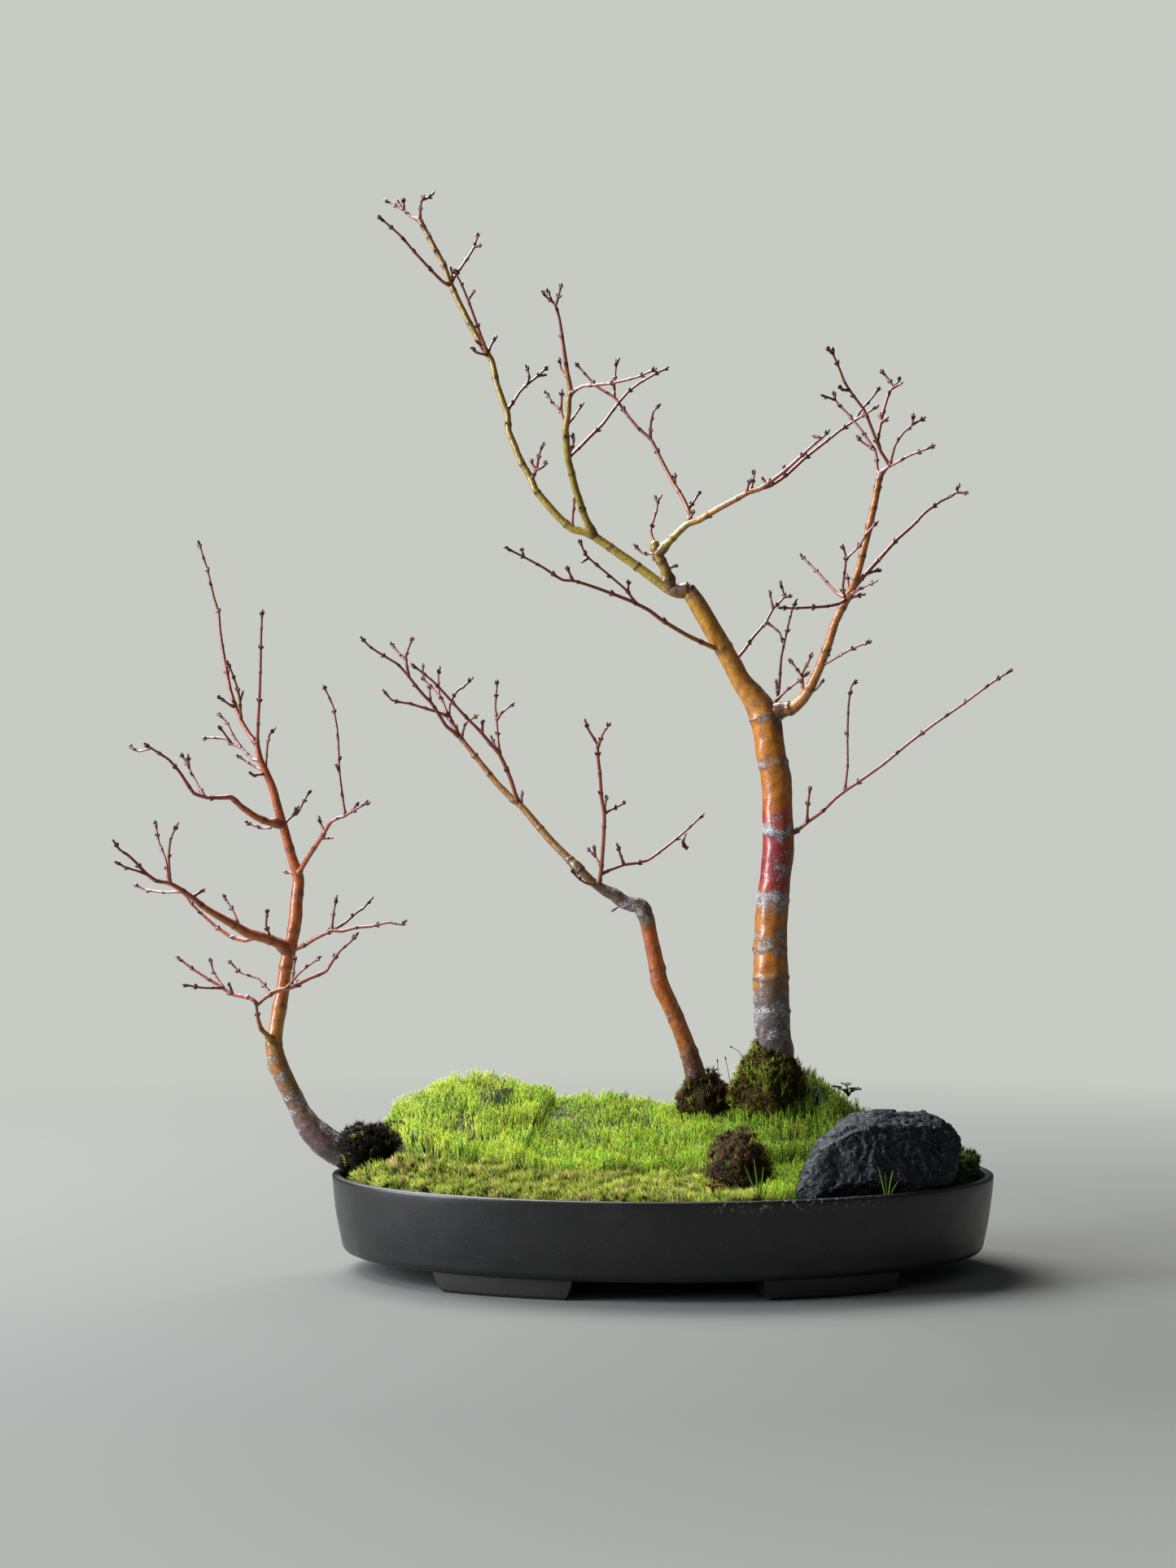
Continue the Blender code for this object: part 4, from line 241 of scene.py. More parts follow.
MIDDLE_TREE = (
    (0, ((25, 84, 13.5), (21, 95, 12.8), (16.8, 110, 10.4), (13.2, 120, 9.6), (9.4, 130, 9.4),
         (4.9, 140, 9.4), (-0.5, 152, 9.8), (-2.2, 161, 9), (-4.1, 170, 8.6), (-6.2, 180, 8.3),
         (-8.3, 189, 9), (-11.5, 195, 9), (-17.1, 196.2, 8), (-21.8, 198, 8), (-25.8, 201.4, 7.5),
         (-30.5, 203.5, 6.5), (-36.8, 207.5, 5), (-44.7, 214.8, 4.7))),
    (34, ((-44.7, 214.8, 4.6), (-52.6, 222.7), (-61.3, 231.4), (-71.4, 243.2, 4), (-78.1, 251),
          (-84.2, 256.3), (-91.8, 263.9, 3.4), (-97.8, 271.4), (-103.9, 279), (-110, 286.6),
          (-113, 290.4), (-115.3, 294.9), (-119.1, 301.7, 2.2))),
    (-12, ((-119.1, 301.7, 1.8), (-125.2, 304), (-132.8, 306.3), (-140.3, 308.6), (-150.9, 310.8),
           (-156.2, 316.9))),
    (10, ((-119.4, 302, 1.7), (-122.1, 309.3), (-124, 313.1), (-124.8, 325.3), (-124, 329.8))),
    (None, ((-123.6, 312), (-128.2, 317.7), (-133.5, 323), (-133.7, 331.4))),
    (16, ((-119.1, 301.7, 1.6), (-117.9, 310.1), (-114.2, 315.8), (-109.2, 319.6), (-105.4, 323.8))),
    (-30, ((-113, 290.4, 2.2), (-120.6, 296.4), (-124.4, 302.5), (-128.9, 309.3), (-132.7, 313.1),
           (-137.2, 318.4), (-142.5, 325.3), (-147.8, 331), (-150.9, 332.9), (-163.8, 341.2),
           (-168.7, 346.5))),
    (None, ((-141.4, 324), (-142.9, 335.9), (-139.1, 346.1))),
    (None, ((-142.7, 333), (-148.6, 338.9), (-151.7, 343.5))),
    (None, ((-112, 289.2), (-109.2, 298), (-102.4, 302.5))),
    (None, ((-129.5, 309.7), (-130, 320))),
    (-26, ((-80, 252.6, 2.4), (-84.2, 266.1), (-88, 275.2, 2.3), (-90.3, 279.8), (-97.8, 288.9),
           (-101.6, 293.4), (-109.2, 301), (-117.5, 310.1), (-123.6, 316.9), (-128.1, 321.5),
           (-134.2, 326.4), (-140.3, 331.3))),
    (12, ((-90.3, 279.8, 1.7), (-91.4, 288.9), (-92.2, 299.5), (-92.9, 307), (-92.2, 316.2),
          (-91.8, 322.2))),
    (None, ((-92.2, 299.5), (-89.5, 303.3), (-82.3, 309.3))),
    (None, ((-91.3, 281), (-95.6, 291.1))),
    (None, ((-100.5, 292), (-99.7, 299.9))),
    (None, ((-78, 251.5), (-78, 260))),
    (-30, ((-35, 206.8, 2.6), (-33.6, 214.1), (-32.8, 223.5, 2.2), (-32, 235.3), (-31.7, 246.4),
           (-33.2, 255.8), (-34, 266.8), (-35.2, 278.6, 1.8), (-35.6, 285.7), (-40.7, 294.4),
           (-42.7, 300.3))),
    (None, ((-35.5, 284), (-32, 292.8), (-28.5, 298.3))),
    (12, ((-31.8, 247), (-28.9, 248.7), (-24.1, 251.1), (-19.8, 253.8))),
    (None, ((-31.8, 247), (-30.5, 257.5))),
    (26, ((-33.6, 213.2, 1.9), (-28.9, 215.3), (-20.2, 218.4), (-13.9, 219.2), (-7.6, 220.8),
          (3.4, 228.6), (14.4, 237.7), (24.3, 247.1))),
    (None, ((-20.6, 218.2), (-22.2, 222.7), (-24.7, 230.5))),
    (None, ((-33.2, 217.2), (-36.8, 222.7), (-41.5, 227.8))),
    (None, ((-36.8, 222.7), (-37.4, 229.4))),
    (-14, ((-35, 206.5), (-43.1, 208.6), (-47.1, 211.7), (-50.2, 215.7))),
    (None, ((-20, 197), (-27.7, 192.5))),
)

LEFT_TREE = (
    (0, ((-164, 60, 17), (-172, 60.8, 18), (-180.5, 64.8, 17.8), (-187, 70, 16.6), (-192.6, 75.6, 14.8),
         (-197, 82.5, 12.3), (-200.8, 90, 10.9), (-205.6, 100, 11), (-210.1, 110, 11.5),
         (-212.1, 120, 9.4), (-210.9, 130, 8), (-209.2, 140, 8.4), (-207.4, 150, 7.5), (-206.3, 160, 7),
         (-204.3, 170, 8), (-201.9, 180, 7), (-200.4, 190, 7.5), (-199.8, 200, 7), (-198.8, 210, 6.6),
         (-203, 225, 5.3), (-207.1, 240, 5), (-210.1, 250, 4.7), (-212.7, 260, 4.5), (-216.8, 270, 4),
         (-219.5, 275.7), (-221.5, 285, 3))),
    (28, ((-221.5, 285, 2.6), (-224.7, 289), (-229.9, 297.2), (-232.9, 304.6), (-235.9, 313.5, 2.2),
          (-238.1, 324.6), (-240.3, 337.2, 1.8), (-241.8, 347.6), (-242.5, 356.5), (-244.8, 363.9, 1.5),
          (-248.5, 379.5), (-252.2, 391.3), (-253.7, 396.2))),
    (-12, ((-230.2, 298), (-231, 309.8), (-232.1, 315), (-235.8, 325.4), (-238.4, 330.6))),
    (None, ((-231, 308), (-229.1, 314.2))),
    (None, ((-233, 305), (-235.8, 306), (-243.3, 311.3))),
    (-22, ((-221.5, 284, 1.9), (-220.7, 300.1), (-220.3, 306), (-219.5, 328.3), (-219.2, 343.9),
           (-218.6, 358.5))),
    (None, ((-217, 270.5), (-221.6, 271.7), (-226.4, 274.8), (-233.2, 278.9))),
    (None, ((-216.3, 268.8), (-223.6, 268), (-226, 269.7))),
    (12, ((-216.5, 270), (-215.8, 284.4), (-214.7, 289.8), (-211.3, 294))),
    (18, ((-219.5, 275.7, 1.7), (-223.9, 276.5), (-229.9, 282.7), (-234.4, 284.5), (-238.8, 287.5),
          (-251.5, 288.2))),
    (None, ((-229.9, 283), (-235, 290.5), (-237.7, 296.4), (-243.3, 302))),
    (None, ((-235.5, 285.5), (-240.3, 292), (-242.9, 295))),
    # upper left branch
    (-30, ((-207.4, 241, 4.2), (-215.8, 242.4), (-222.5, 245.3, 3.9), (-229.9, 250.5), (-235.9, 255.7),
           (-241, 255.6), (-249.2, 255.7, 2.2), (-255.9, 257.9), (-259.6, 263.1), (-264, 269.8),
           (-270, 276.5), (-274.4, 279.4), (-283.6, 285.3))),
    (None, ((-279.6, 282.5), (-286.3, 280.9), (-291.5, 284.2))),
    (14, ((-250, 256), (-255.9, 266.1), (-259.2, 272.7), (-263.3, 280.1))),
    (None, ((-258.5, 271.5), (-259.2, 279.4))),
    (None, ((-209, 241.2), (-218, 238.7), (-224.7, 240.9), (-228.4, 242.7))),
    (16, ((-207, 240.5), (-202.4, 245.4), (-199, 247.5), (-196.3, 253), (-192.2, 259.8))),
    (None, ((-202.4, 245.6), (-198.3, 251.2))),
    # right branch
    (-36, ((-199.4, 213, 3), (-193.6, 222.8, 2.8), (-189.5, 229), (-185.4, 235.2), (-180.6, 242.7),
           (-177.2, 244.4), (-173.7, 245.4), (-171.7, 246.8), (-166.9, 249.5), (-162.1, 252.3),
           (-159.7, 253))),
    (None, ((-171, 247.3), (-165.8, 253))),
    (16, ((-173.4, 245.8, 1.7), (-175.1, 257.7), (-176.5, 269.4), (-177.2, 286.4), (-177.8, 293.3),
          (-180.2, 306.1), (-185.4, 317.2))),
    (None, ((-176.5, 270), (-178.5, 274))),
    (None, ((-184.5, 236.5), (-186.4, 240.7), (-188.4, 245.5))),
    (None, ((-186.5, 233.5), (-180, 233.4))),
    (None, ((-199.5, 214), (-207.2, 215))),
    # low left limb
    (-44, ((-204.5, 171, 5.4), (-209.4, 175.8, 5.2), (-216.4, 178.5, 5.8), (-227, 181.6, 5.6),
           (-234.1, 186, 4.8), (-242.9, 190.9, 4.1), (-250, 195.3, 3.6), (-257.1, 201), (-264.1, 205.9),
           (-270, 209, 2.4), (-276.6, 210.1), (-281.8, 213.8), (-287, 219.4), (-292.2, 224.2),
           (-296.6, 227.2), (-300.4, 232.7))),
    (16, ((-222, 179, 2.6), (-227.9, 177.5), (-235.8, 179.6), (-243.8, 185), (-250.9, 191.2),
          (-257.9, 198.3), (-262, 204.5))),
    (None, ((-281.8, 213.8), (-287.7, 215.7), (-293.7, 217.6), (-299.2, 220.9))),
    (14, ((-262, 204.3, 1.7), (-272.2, 203.8), (-282.5, 205.3), (-288.8, 208.3))),
    (None, ((-269.6, 209.5), (-271.4, 221.6), (-275.1, 231.2), (-277.2, 243.1))),
    (None, ((-268.7, 208.8), (-269.6, 224.6), (-268.5, 233.5), (-264.4, 242))),
    (None, ((-257, 201), (-250, 205.7))),
    (12, ((-229, 182), (-231.4, 186.4), (-234.1, 192.6), (-240.3, 202.7))),
    (None, ((-212.8, 177.5), (-216.4, 185.5), (-215.7, 194.8))),
    # right branch below it
    (-20, ((-203.8, 172, 2.6), (-197, 174.1), (-189.9, 178.5, 2.3), (-184.6, 181.1), (-180.2, 182.9),
           (-175.8, 182.5), (-166.9, 184.6), (-159.9, 185.1), (-149.3, 187.3), (-142.2, 186.4),
           (-139.6, 188.6))),
    (18, ((-181, 182.7, 1.7), (-173.1, 187.3), (-167.8, 192.1), (-162.5, 196.1), (-158.1, 201.4))),
    (None, ((-180.6, 182.6), (-179.7, 192.6), (-177.7, 202.3))),
    # branch that loops in front of the trunk
    (-26, ((-212, 121, 3.8), (-214.6, 124.6, 3.4), (-219.1, 129), (-220.8, 134.3), (-221.7, 141.4),
           (-221.7, 144))),
    (14, ((-221.7, 143.5, 2.4), (-225.2, 145.9), (-235, 148.1), (-241.1, 152), (-248.2, 156.5),
          (-255.2, 160.9), (-265.8, 168.8))),
    (None, ((-240.5, 151.7), (-250.8, 151.6), (-262.3, 153.4))),
    (None, ((-239.5, 151), (-245.5, 160.9), (-247.3, 168))),
    (None, ((-235, 148.3), (-236.7, 154.7))),
    (-6, ((-221.5, 142, 2.7), (-216.4, 146.7), (-212, 149.4), (-202.3, 152, 2.5), (-193.4, 156.5),
          (-183.7, 160.9), (-180.2, 166.2), (-175.7, 172.3), (-170.4, 176.8), (-166, 182))),
    (None, ((-214, 148.4), (-220.8, 156.5), (-230.5, 160), (-237.1, 166.6))),
    (None, ((-206, 151), (-197, 160.9), (-186.4, 168.8))),
    (None, ((-202.5, 152.2), (-202, 158), (-200.5, 169))),
)

# Shared helpers


def srgb(red, green, blue):
    """A colour from 0-255 screen values, as the linear light values that a shader takes."""
    shares = [value / 255 for value in (red, green, blue)]
    return tuple(((s + 0.055) / 1.055) ** 2.4 if s > 0.0404 else s / 12.92 for s in shares)


def smooth(share):
    share = np.clip(share, 0.0, 1.0)
    return share * share * (3 - 2 * share)


def waves(points, size, seed):
    """Smooth irregular values from -1 to 1 over points (n, 3), in swells about size across."""
    draw = np.random.default_rng(seed)
    total = np.zeros(len(points))
    for _ in range(9):
        heading = draw.normal(size=3)
        heading *= 2 * math.pi / size * draw.uniform(0.6, 1.5) / np.linalg.norm(heading)
        total += np.sin(points @ heading + draw.uniform(0, 2 * math.pi))
    return np.tanh(total / 2.5)


def mesh_object(name, points, faces, colours=None, **values):
    """A mesh object from points, arrays of faces, colours and further values at the points."""
    mesh = bpy.data.meshes.new(name)
    points = np.asarray(points, np.float32)
    faces = [np.asarray(block, np.int32) for block in faces if len(block)]
    corners = np.concatenate([block.ravel() for block in faces])
    totals = np.concatenate([np.full(len(block), block.shape[1], np.int32) for block in faces])
    mesh.vertices.add(len(points))
    mesh.vertices.foreach_set("co", points.ravel())
    mesh.loops.add(len(corners))
    mesh.loops.foreach_set("vertex_index", corners)
    mesh.polygons.add(len(totals))
    mesh.polygons.foreach_set("loop_start", np.concatenate([[0], np.cumsum(totals)[:-1]]).astype(np.int32))
    mesh.update(calc_edges=True)
    mesh.validate()
    mesh.shade_smooth()
    if colours is not None:
        rgba = np.ones((len(points), 4), np.float32)
        rgba[:, :3] = colours
        mesh.attributes.new("tint", "FLOAT_COLOR", "POINT").data.foreach_set("color", rgba.ravel())
    for key, value in values.items():
        mesh.attributes.new(key, "FLOAT", "POINT").data.foreach_set("value", np.asarray(value, np.float32))
    made = bpy.data.objects.new(name, mesh)
    bpy.context.scene.collection.objects.link(made)
    return made


class Heap:
    """Points, faces and values of many small shapes, gathered for one mesh."""

    def __init__(self):
        self.points = []
        self.faces = {}
        self.values = {}
        self.count = 0

    def add(self, points, faces, **values):
        points = np.asarray(points, float)
        self.points.append(points)
        for block in faces:
            block = np.asarray(block)
            self.faces.setdefault(block.shape[1], []).append(block + self.count)
        for key, value in values.items():
            value = np.asarray(value, float)
            if key == "colours":
                value = np.broadcast_to(value, (len(points), 3))
            else:
                value = np.broadcast_to(value, len(points))
            self.values.setdefault(key, []).append(value)
        self.count += len(points)

    def build(self, name):
        faces = [np.concatenate(blocks) for blocks in self.faces.values()]
        values = {key: np.concatenate(blocks) for key, blocks in self.values.items()}
        return mesh_object(name, np.concatenate(self.points), faces, **values)


def show(piece, slot, material, *replaced):
    """Puts a piece on the object in place of the nodes it stands for."""
    piece.data.materials.clear()
    piece.data.materials.append(material)
    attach(piece, "root")
    if replaced:
        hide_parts(*replaced)
    return piece


def node_mesh(name):
    """A CAD node's points (n, 3), triangles (m, 3) and normals at the points, from the pot's centre."""
    mesh = nodes[name].data
    points = np.empty(len(mesh.vertices) * 3)
    mesh.vertices.foreach_get("co", points)
    points = points.reshape(-1, 3)
    mesh.calc_loop_triangles()
    faces = np.empty(len(mesh.loop_triangles) * 3, np.int64)
    mesh.loop_triangles.foreach_get("vertices", faces)
    _, first, index = np.unique(np.round(points, 6), axis=0, return_index=True, return_inverse=True)
    points = points[first] - np.array(ORIGIN)
    faces = index.reshape(-1)[faces].reshape(-1, 3)
    faces = faces[(faces[:, 0] != faces[:, 1]) & (faces[:, 1] != faces[:, 2]) & (faces[:, 0] != faces[:, 2])]
    square = np.cross(points[faces[:, 1]] - points[faces[:, 0]], points[faces[:, 2]] - points[faces[:, 0]])
    normals = np.zeros_like(points)
    for corner in range(3):
        np.add.at(normals, faces[:, corner], square)
    normals /= np.maximum(np.linalg.norm(normals, axis=1, keepdims=True), 1e-12)
    return points, faces, normals


# Materials


def node(tree, kind, inputs=None, **settings):
    made = tree.nodes.new(kind)
    for key, value in settings.items():
        setattr(made, key, value)
    for key, value in (inputs or {}).items():
        if isinstance(value, bpy.types.NodeSocket):
            tree.links.new(value, made.inputs[key])
        else:
            made.inputs[key].default_value = value
    return made


def attribute(tree, name):
    made = node(tree, "ShaderNodeAttribute", attribute_name=name)
    return made.outputs["Color" if name == "tint" else "Fac"]


def mixed(tree, share, first, second, blend="MIX"):
    made = node(tree, "ShaderNodeMix", data_type="RGBA", blend_type=blend)
    for key, value in ((0, share), (6, first), (7, second)):
        if isinstance(value, bpy.types.NodeSocket):
            tree.links.new(value, made.inputs[key])
        else:
            made.inputs[key].default_value = (*value, 1.0) if key else value
    return made.outputs[2]


def own_place(tree):
    return node(tree, "ShaderNodeTexCoord").outputs["Object"]


def speckle(tree, scale, detail=4.0, roughness=0.55, stretch=(1, 1, 1)):
    place = node(tree, "ShaderNodeMapping", {"Vector": own_place(tree), "Scale": stretch}).outputs[0]
    inputs = {"Vector": place, "Scale": scale, "Detail": detail, "Roughness": roughness}
    return node(tree, "ShaderNodeTexNoise", inputs).outputs["Fac"]


def cells(tree, scale, stretch=(1, 1, 1)):
    place = node(tree, "ShaderNodeMapping", {"Vector": own_place(tree), "Scale": stretch}).outputs[0]
    return node(tree, "ShaderNodeTexVoronoi", {"Vector": place, "Scale": scale}).outputs["Distance"]


def band(tree, value, low, high, start=0.0, end=1.0):
    """start at low, end at high and an even change between, where low may be the larger."""
    inputs = {"Value": value, "From Min": low, "From Max": high, "To Min": start, "To Max": end}
    return node(tree, "ShaderNodeMapRange", inputs, clamp=True).outputs["Result"]


def worked(tree, operation, first, second):
    return node(tree, "ShaderNodeMath", {0: first, 1: second}, operation=operation).outputs[0]


def times(tree, first, second):
    return worked(tree, "MULTIPLY", first, second)


def new_material(name, roughness, **sockets):
    made = bpy.data.materials.new(name)
    made.use_nodes = True
    tree = made.node_tree
    shader = tree.nodes["Principled BSDF"]
    shader.inputs["Roughness"].default_value = roughness
    for key, value in sockets.items():
        shader.inputs[key.replace("_", " ")].default_value = value
    return made, tree, shader


def bumped(tree, shader, height, distance, strength=1.0):
    bump = node(tree, "ShaderNodeBump", {"Height": height, "Distance": distance, "Strength": strength})
    tree.links.new(bump.outputs[0], shader.inputs["Normal"])


def bark_material(name):
    made, tree, shader = new_material(name, 0.3, Specular_IOR_Level=0.6, Coat_Roughness=0.17)
    base = attribute(tree, "tint")
    lichen = attribute(tree, "lichen")
    blotch = band(tree, speckle(tree, 260, 5), 0.42, 0.66)
    base = mixed(tree, times(tree, blotch, 0.4), base, mixed(tree, 1.0, base, (0.55, 0.44, 0.40), "MULTIPLY"))
    dots = band(tree, cells(tree, 640, (1, 1, 2.0)), 0.20, 0.08)
    base = mixed(tree, times(tree, dots, 0.35), base, srgb(232, 176, 120))
    dashes = band(tree, cells(tree, 210, (1, 1, 3.0)), 0.17, 0.07)
    base = mixed(tree, times(tree, dashes, 0.75), base, srgb(58, 32, 22))
    patches = band(tree, speckle(tree, 520, 6, 0.75, (1, 1, 1.9)), 0.66, 0.36)
    grey = mixed(tree, band(tree, speckle(tree, 1100, 4), 0.36, 0.62), srgb(86, 76, 70), srgb(208, 204, 206))
    crust = band(tree, worked(tree, "SUBTRACT", lichen, patches), -0.08, 0.06)
    tree.links.new(mixed(tree, crust, base, grey), shader.inputs["Base Color"])
    tree.links.new(band(tree, crust, 0, 1, 0.27, 0.62), shader.inputs["Roughness"])
    tree.links.new(band(tree, crust, 0, 1, 0.85, 0.12), shader.inputs["Coat Weight"])
    relief = worked(tree, "ADD", speckle(tree, 700, 6, 0.65), times(tree, crust, 1.1))
    relief = worked(tree, "ADD", relief, times(tree, dashes, 0.5))
    bumped(tree, shader, relief, 0.0005, 0.8)
    return made


def foliage_material(name, roughness=0.6):
    """Takes each needle's own colour."""
    made, tree, shader = new_material(name, roughness, Specular_IOR_Level=0.15)
    base = attribute(tree, "tint")
    dulled = mixed(tree, 1.0, base, (0.5, 0.5, 0.4), "MULTIPLY")
    fine = times(tree, speckle(tree, 1500, 2), 0.3)
    tree.links.new(mixed(tree, fine, base, dulled), shader.inputs["Base Color"])
    return made


# Bark


def filled(points):
    """(across, up, diameter) with the diameters between the given ones filled in along the length."""
    along = np.cumsum([0.0] + [math.dist(a[:2], b[:2]) for a, b in zip(points, points[1:])])
    known = [(s, p[2]) for s, p in zip(along, points) if len(p) == 3]
    if not known or known[0][0] > 0:
        known.insert(0, (0.0, 1.5))
    if len(points[-1]) == 2:
        known.append((along[-1], TWIG_TIP / MM))
    widths = np.interp(along, [s for s, _ in known], [d for _, d in known])
    return [(p[0], p[1], d) for p, d in zip(points, widths)], along


def nearest_depth(paths, x, z):
    """Where the nearest earlier limb runs: its (across, up, depth, diameter) beside (x, z)."""
    best = None
    for path in paths:
        for a, b in zip(path, path[1:]):
            step = (b[0] - a[0], b[1] - a[1])
            size = step[0] ** 2 + step[1] ** 2
            t = min(max(((x - a[0]) * step[0] + (z - a[1]) * step[1]) / size, 0.0), 1.0)
            spot = [p + t * (q - p) for p, q in zip(a, b)]
            away = math.hypot(spot[0] - x, spot[1] - z)
            if best is None or away < best[0]:
                best = (away, spot)
    return best[1]


def grown(limbs, plane):
    """Each limb as a list of (across, up, depth, diameter), starting inside the limb it grows from."""
    paths = []
    turn = 1
    for lean, points in limbs:
        course, along = filled(points)
        start_depth = plane
        if paths:
            spot = nearest_depth(paths, *course[0][:2])
            start_depth = spot[2]
            thick = min(course[0][2], 0.9 * spot[3])
            course[0] = (spot[0], spot[1], thick)
        if lean is None:
            lean = turn * 0.45 * along[-1]
            turn = -turn
        path = []
        for (x, z, d), s in zip(course, along):
            share = s / along[-1]
            path.append((x, z, start_depth + lean * share * (1.4 - 0.4 * share), d))
        paths.append(path)
    return paths


def placed(path, foot, plane, stand, scale, girth):
    """The path in metres, slid along each line of sight to its depth, as (point, radius)."""
    out = []
    for x, z, y, d in path:
        drawn = Vector((x, plane, z)) * MM
        depth = (y * MM - VIEWING_POINT.y) / (plane * MM - VIEWING_POINT.y)
        point = VIEWING_POINT + (drawn - VIEWING_POINT) * depth
        base = Vector((foot[0], plane, foot[1])) * MM
        out.append((stand + (point - base) * scale, d * MM / 2 * girth))
    return out


def course_of(path, step, stiffness=1.0):
    """Points, radii and lengths at even steps along a smooth curve through a path's points."""
    points = np.array([tuple(p) for p, _ in path])
    radii = np.array([r for _, r in path])
    gaps = np.linalg.norm(np.diff(points, axis=0), axis=1)
    slopes = np.diff(points, axis=0) / gaps[:, None]
    inner = (slopes[:-1] * gaps[1:, None] + slopes[1:] * gaps[:-1, None]) / (gaps[:-1] + gaps[1:])[:, None]
    headings = np.vstack([slopes[:1], inner, slopes[-1:]]) * stiffness
    course, marks = [], [0]
    for i, gap in enumerate(gaps):
        count = max(2, math.ceil(gap / step))
        t = (np.arange(count) / count)[:, None]
        leave, arrive = headings[i] * gap, headings[i + 1] * gap
        course.append(
            (2 * t**3 - 3 * t**2 + 1) * points[i]
            + (t**3 - 2 * t**2 + t) * leave
            + (3 * t**2 - 2 * t**3) * points[i + 1]
            + (t**3 - t**2) * arrive
        )
        marks.append(marks[-1] + count)
    course = np.vstack([*course, points[-1:]])
    along = np.concatenate([[0.0], np.cumsum(np.linalg.norm(np.diff(course, axis=0), axis=1))])
    widths = np.interp(along, along[marks], radii)
    reach = max(1, round(0.0025 / step))
    padded = np.pad(widths, reach, mode="edge")
    widths = np.convolve(padded, np.ones(2 * reach + 1) / (2 * reach + 1), mode="valid")
    return course, widths, along


def frames_along(course):
    """A heading and two square directions at each point, turning as little as they can."""
    heading = np.gradient(course, axis=0)
    heading /= np.linalg.norm(heading, axis=1, keepdims=True)
    side = np.zeros_like(heading)
    seed = np.array([0.0, -1.0, 0.1])
    for i, h in enumerate(heading):
        seed = seed - h * (seed @ h)
        seed = seed / np.linalg.norm(seed)
        side[i] = seed
    return heading, side, np.cross(heading, side)


def tube(course, radii, sides):
    """A closed tube with rounded ends: points, quads and triangles. radii is (rings, sides)."""
    heading, side, over = frames_along(course)
    turn = np.arange(sides) * 2 * math.pi / sides
    around = np.cos(turn)[None, :, None] * side[:, None] + np.sin(turn)[None, :, None] * over[:, None]
    points = course[:, None] + around * radii[:, :, None]
    rings = len(course)
    start = course[0] - heading[0] * radii[0].mean() * 0.6
    finish = course[-1] + heading[-1] * radii[-1].mean() * 0.6
    base = np.arange(rings - 1)[:, None] * sides
    i = np.arange(sides)
    j = (i + 1) % sides
    quads = np.stack([base + i, base + j, base + sides + j, base + sides + i], axis=-1).reshape(-1, 4)
    end = (rings - 1) * sides
    near_cap = np.stack([j, i, np.full(sides, rings * sides)], 1)
    far_cap = np.stack([end + i, end + j, np.full(sides, rings * sides + 1)], 1)
    return np.vstack([points.reshape(-1, 3), [start, finish]]), quads, np.vstack([near_cap, far_cap])


def pointed(place, heading, length, width):
    """A small pointed bud or spore case."""
    sides = 6
    heading = heading / np.linalg.norm(heading)
    shares = np.array([0.0, 0.22, 0.5, 0.78, 0.94])
    widths = np.array([0.62, 1.0, 0.92, 0.50, 0.20])
    course = place + np.outer(shares * length, heading)
    return tube(course, np.repeat(widths[:, None] * width / 2, sides, axis=1), sides)


NODE_GAPS = (0.0070, 0.0125)
MOST_GAPS = 60
BUD_LENGTHS = (0.0020, 0.0034)
BUD_WIDTH = 0.00145
MAROON = np.array(srgb(78, 40, 30))
DARK_SCAR = np.array(srgb(58, 36, 28))


def colour_ramp(stops, values):
    """Colours between stops, each (value, colour), for an array of values."""
    at = [value for value, _ in stops]
    return np.stack([np.interp(values, at, [colour[k] for _, colour in stops]) for k in range(3)], axis=1)


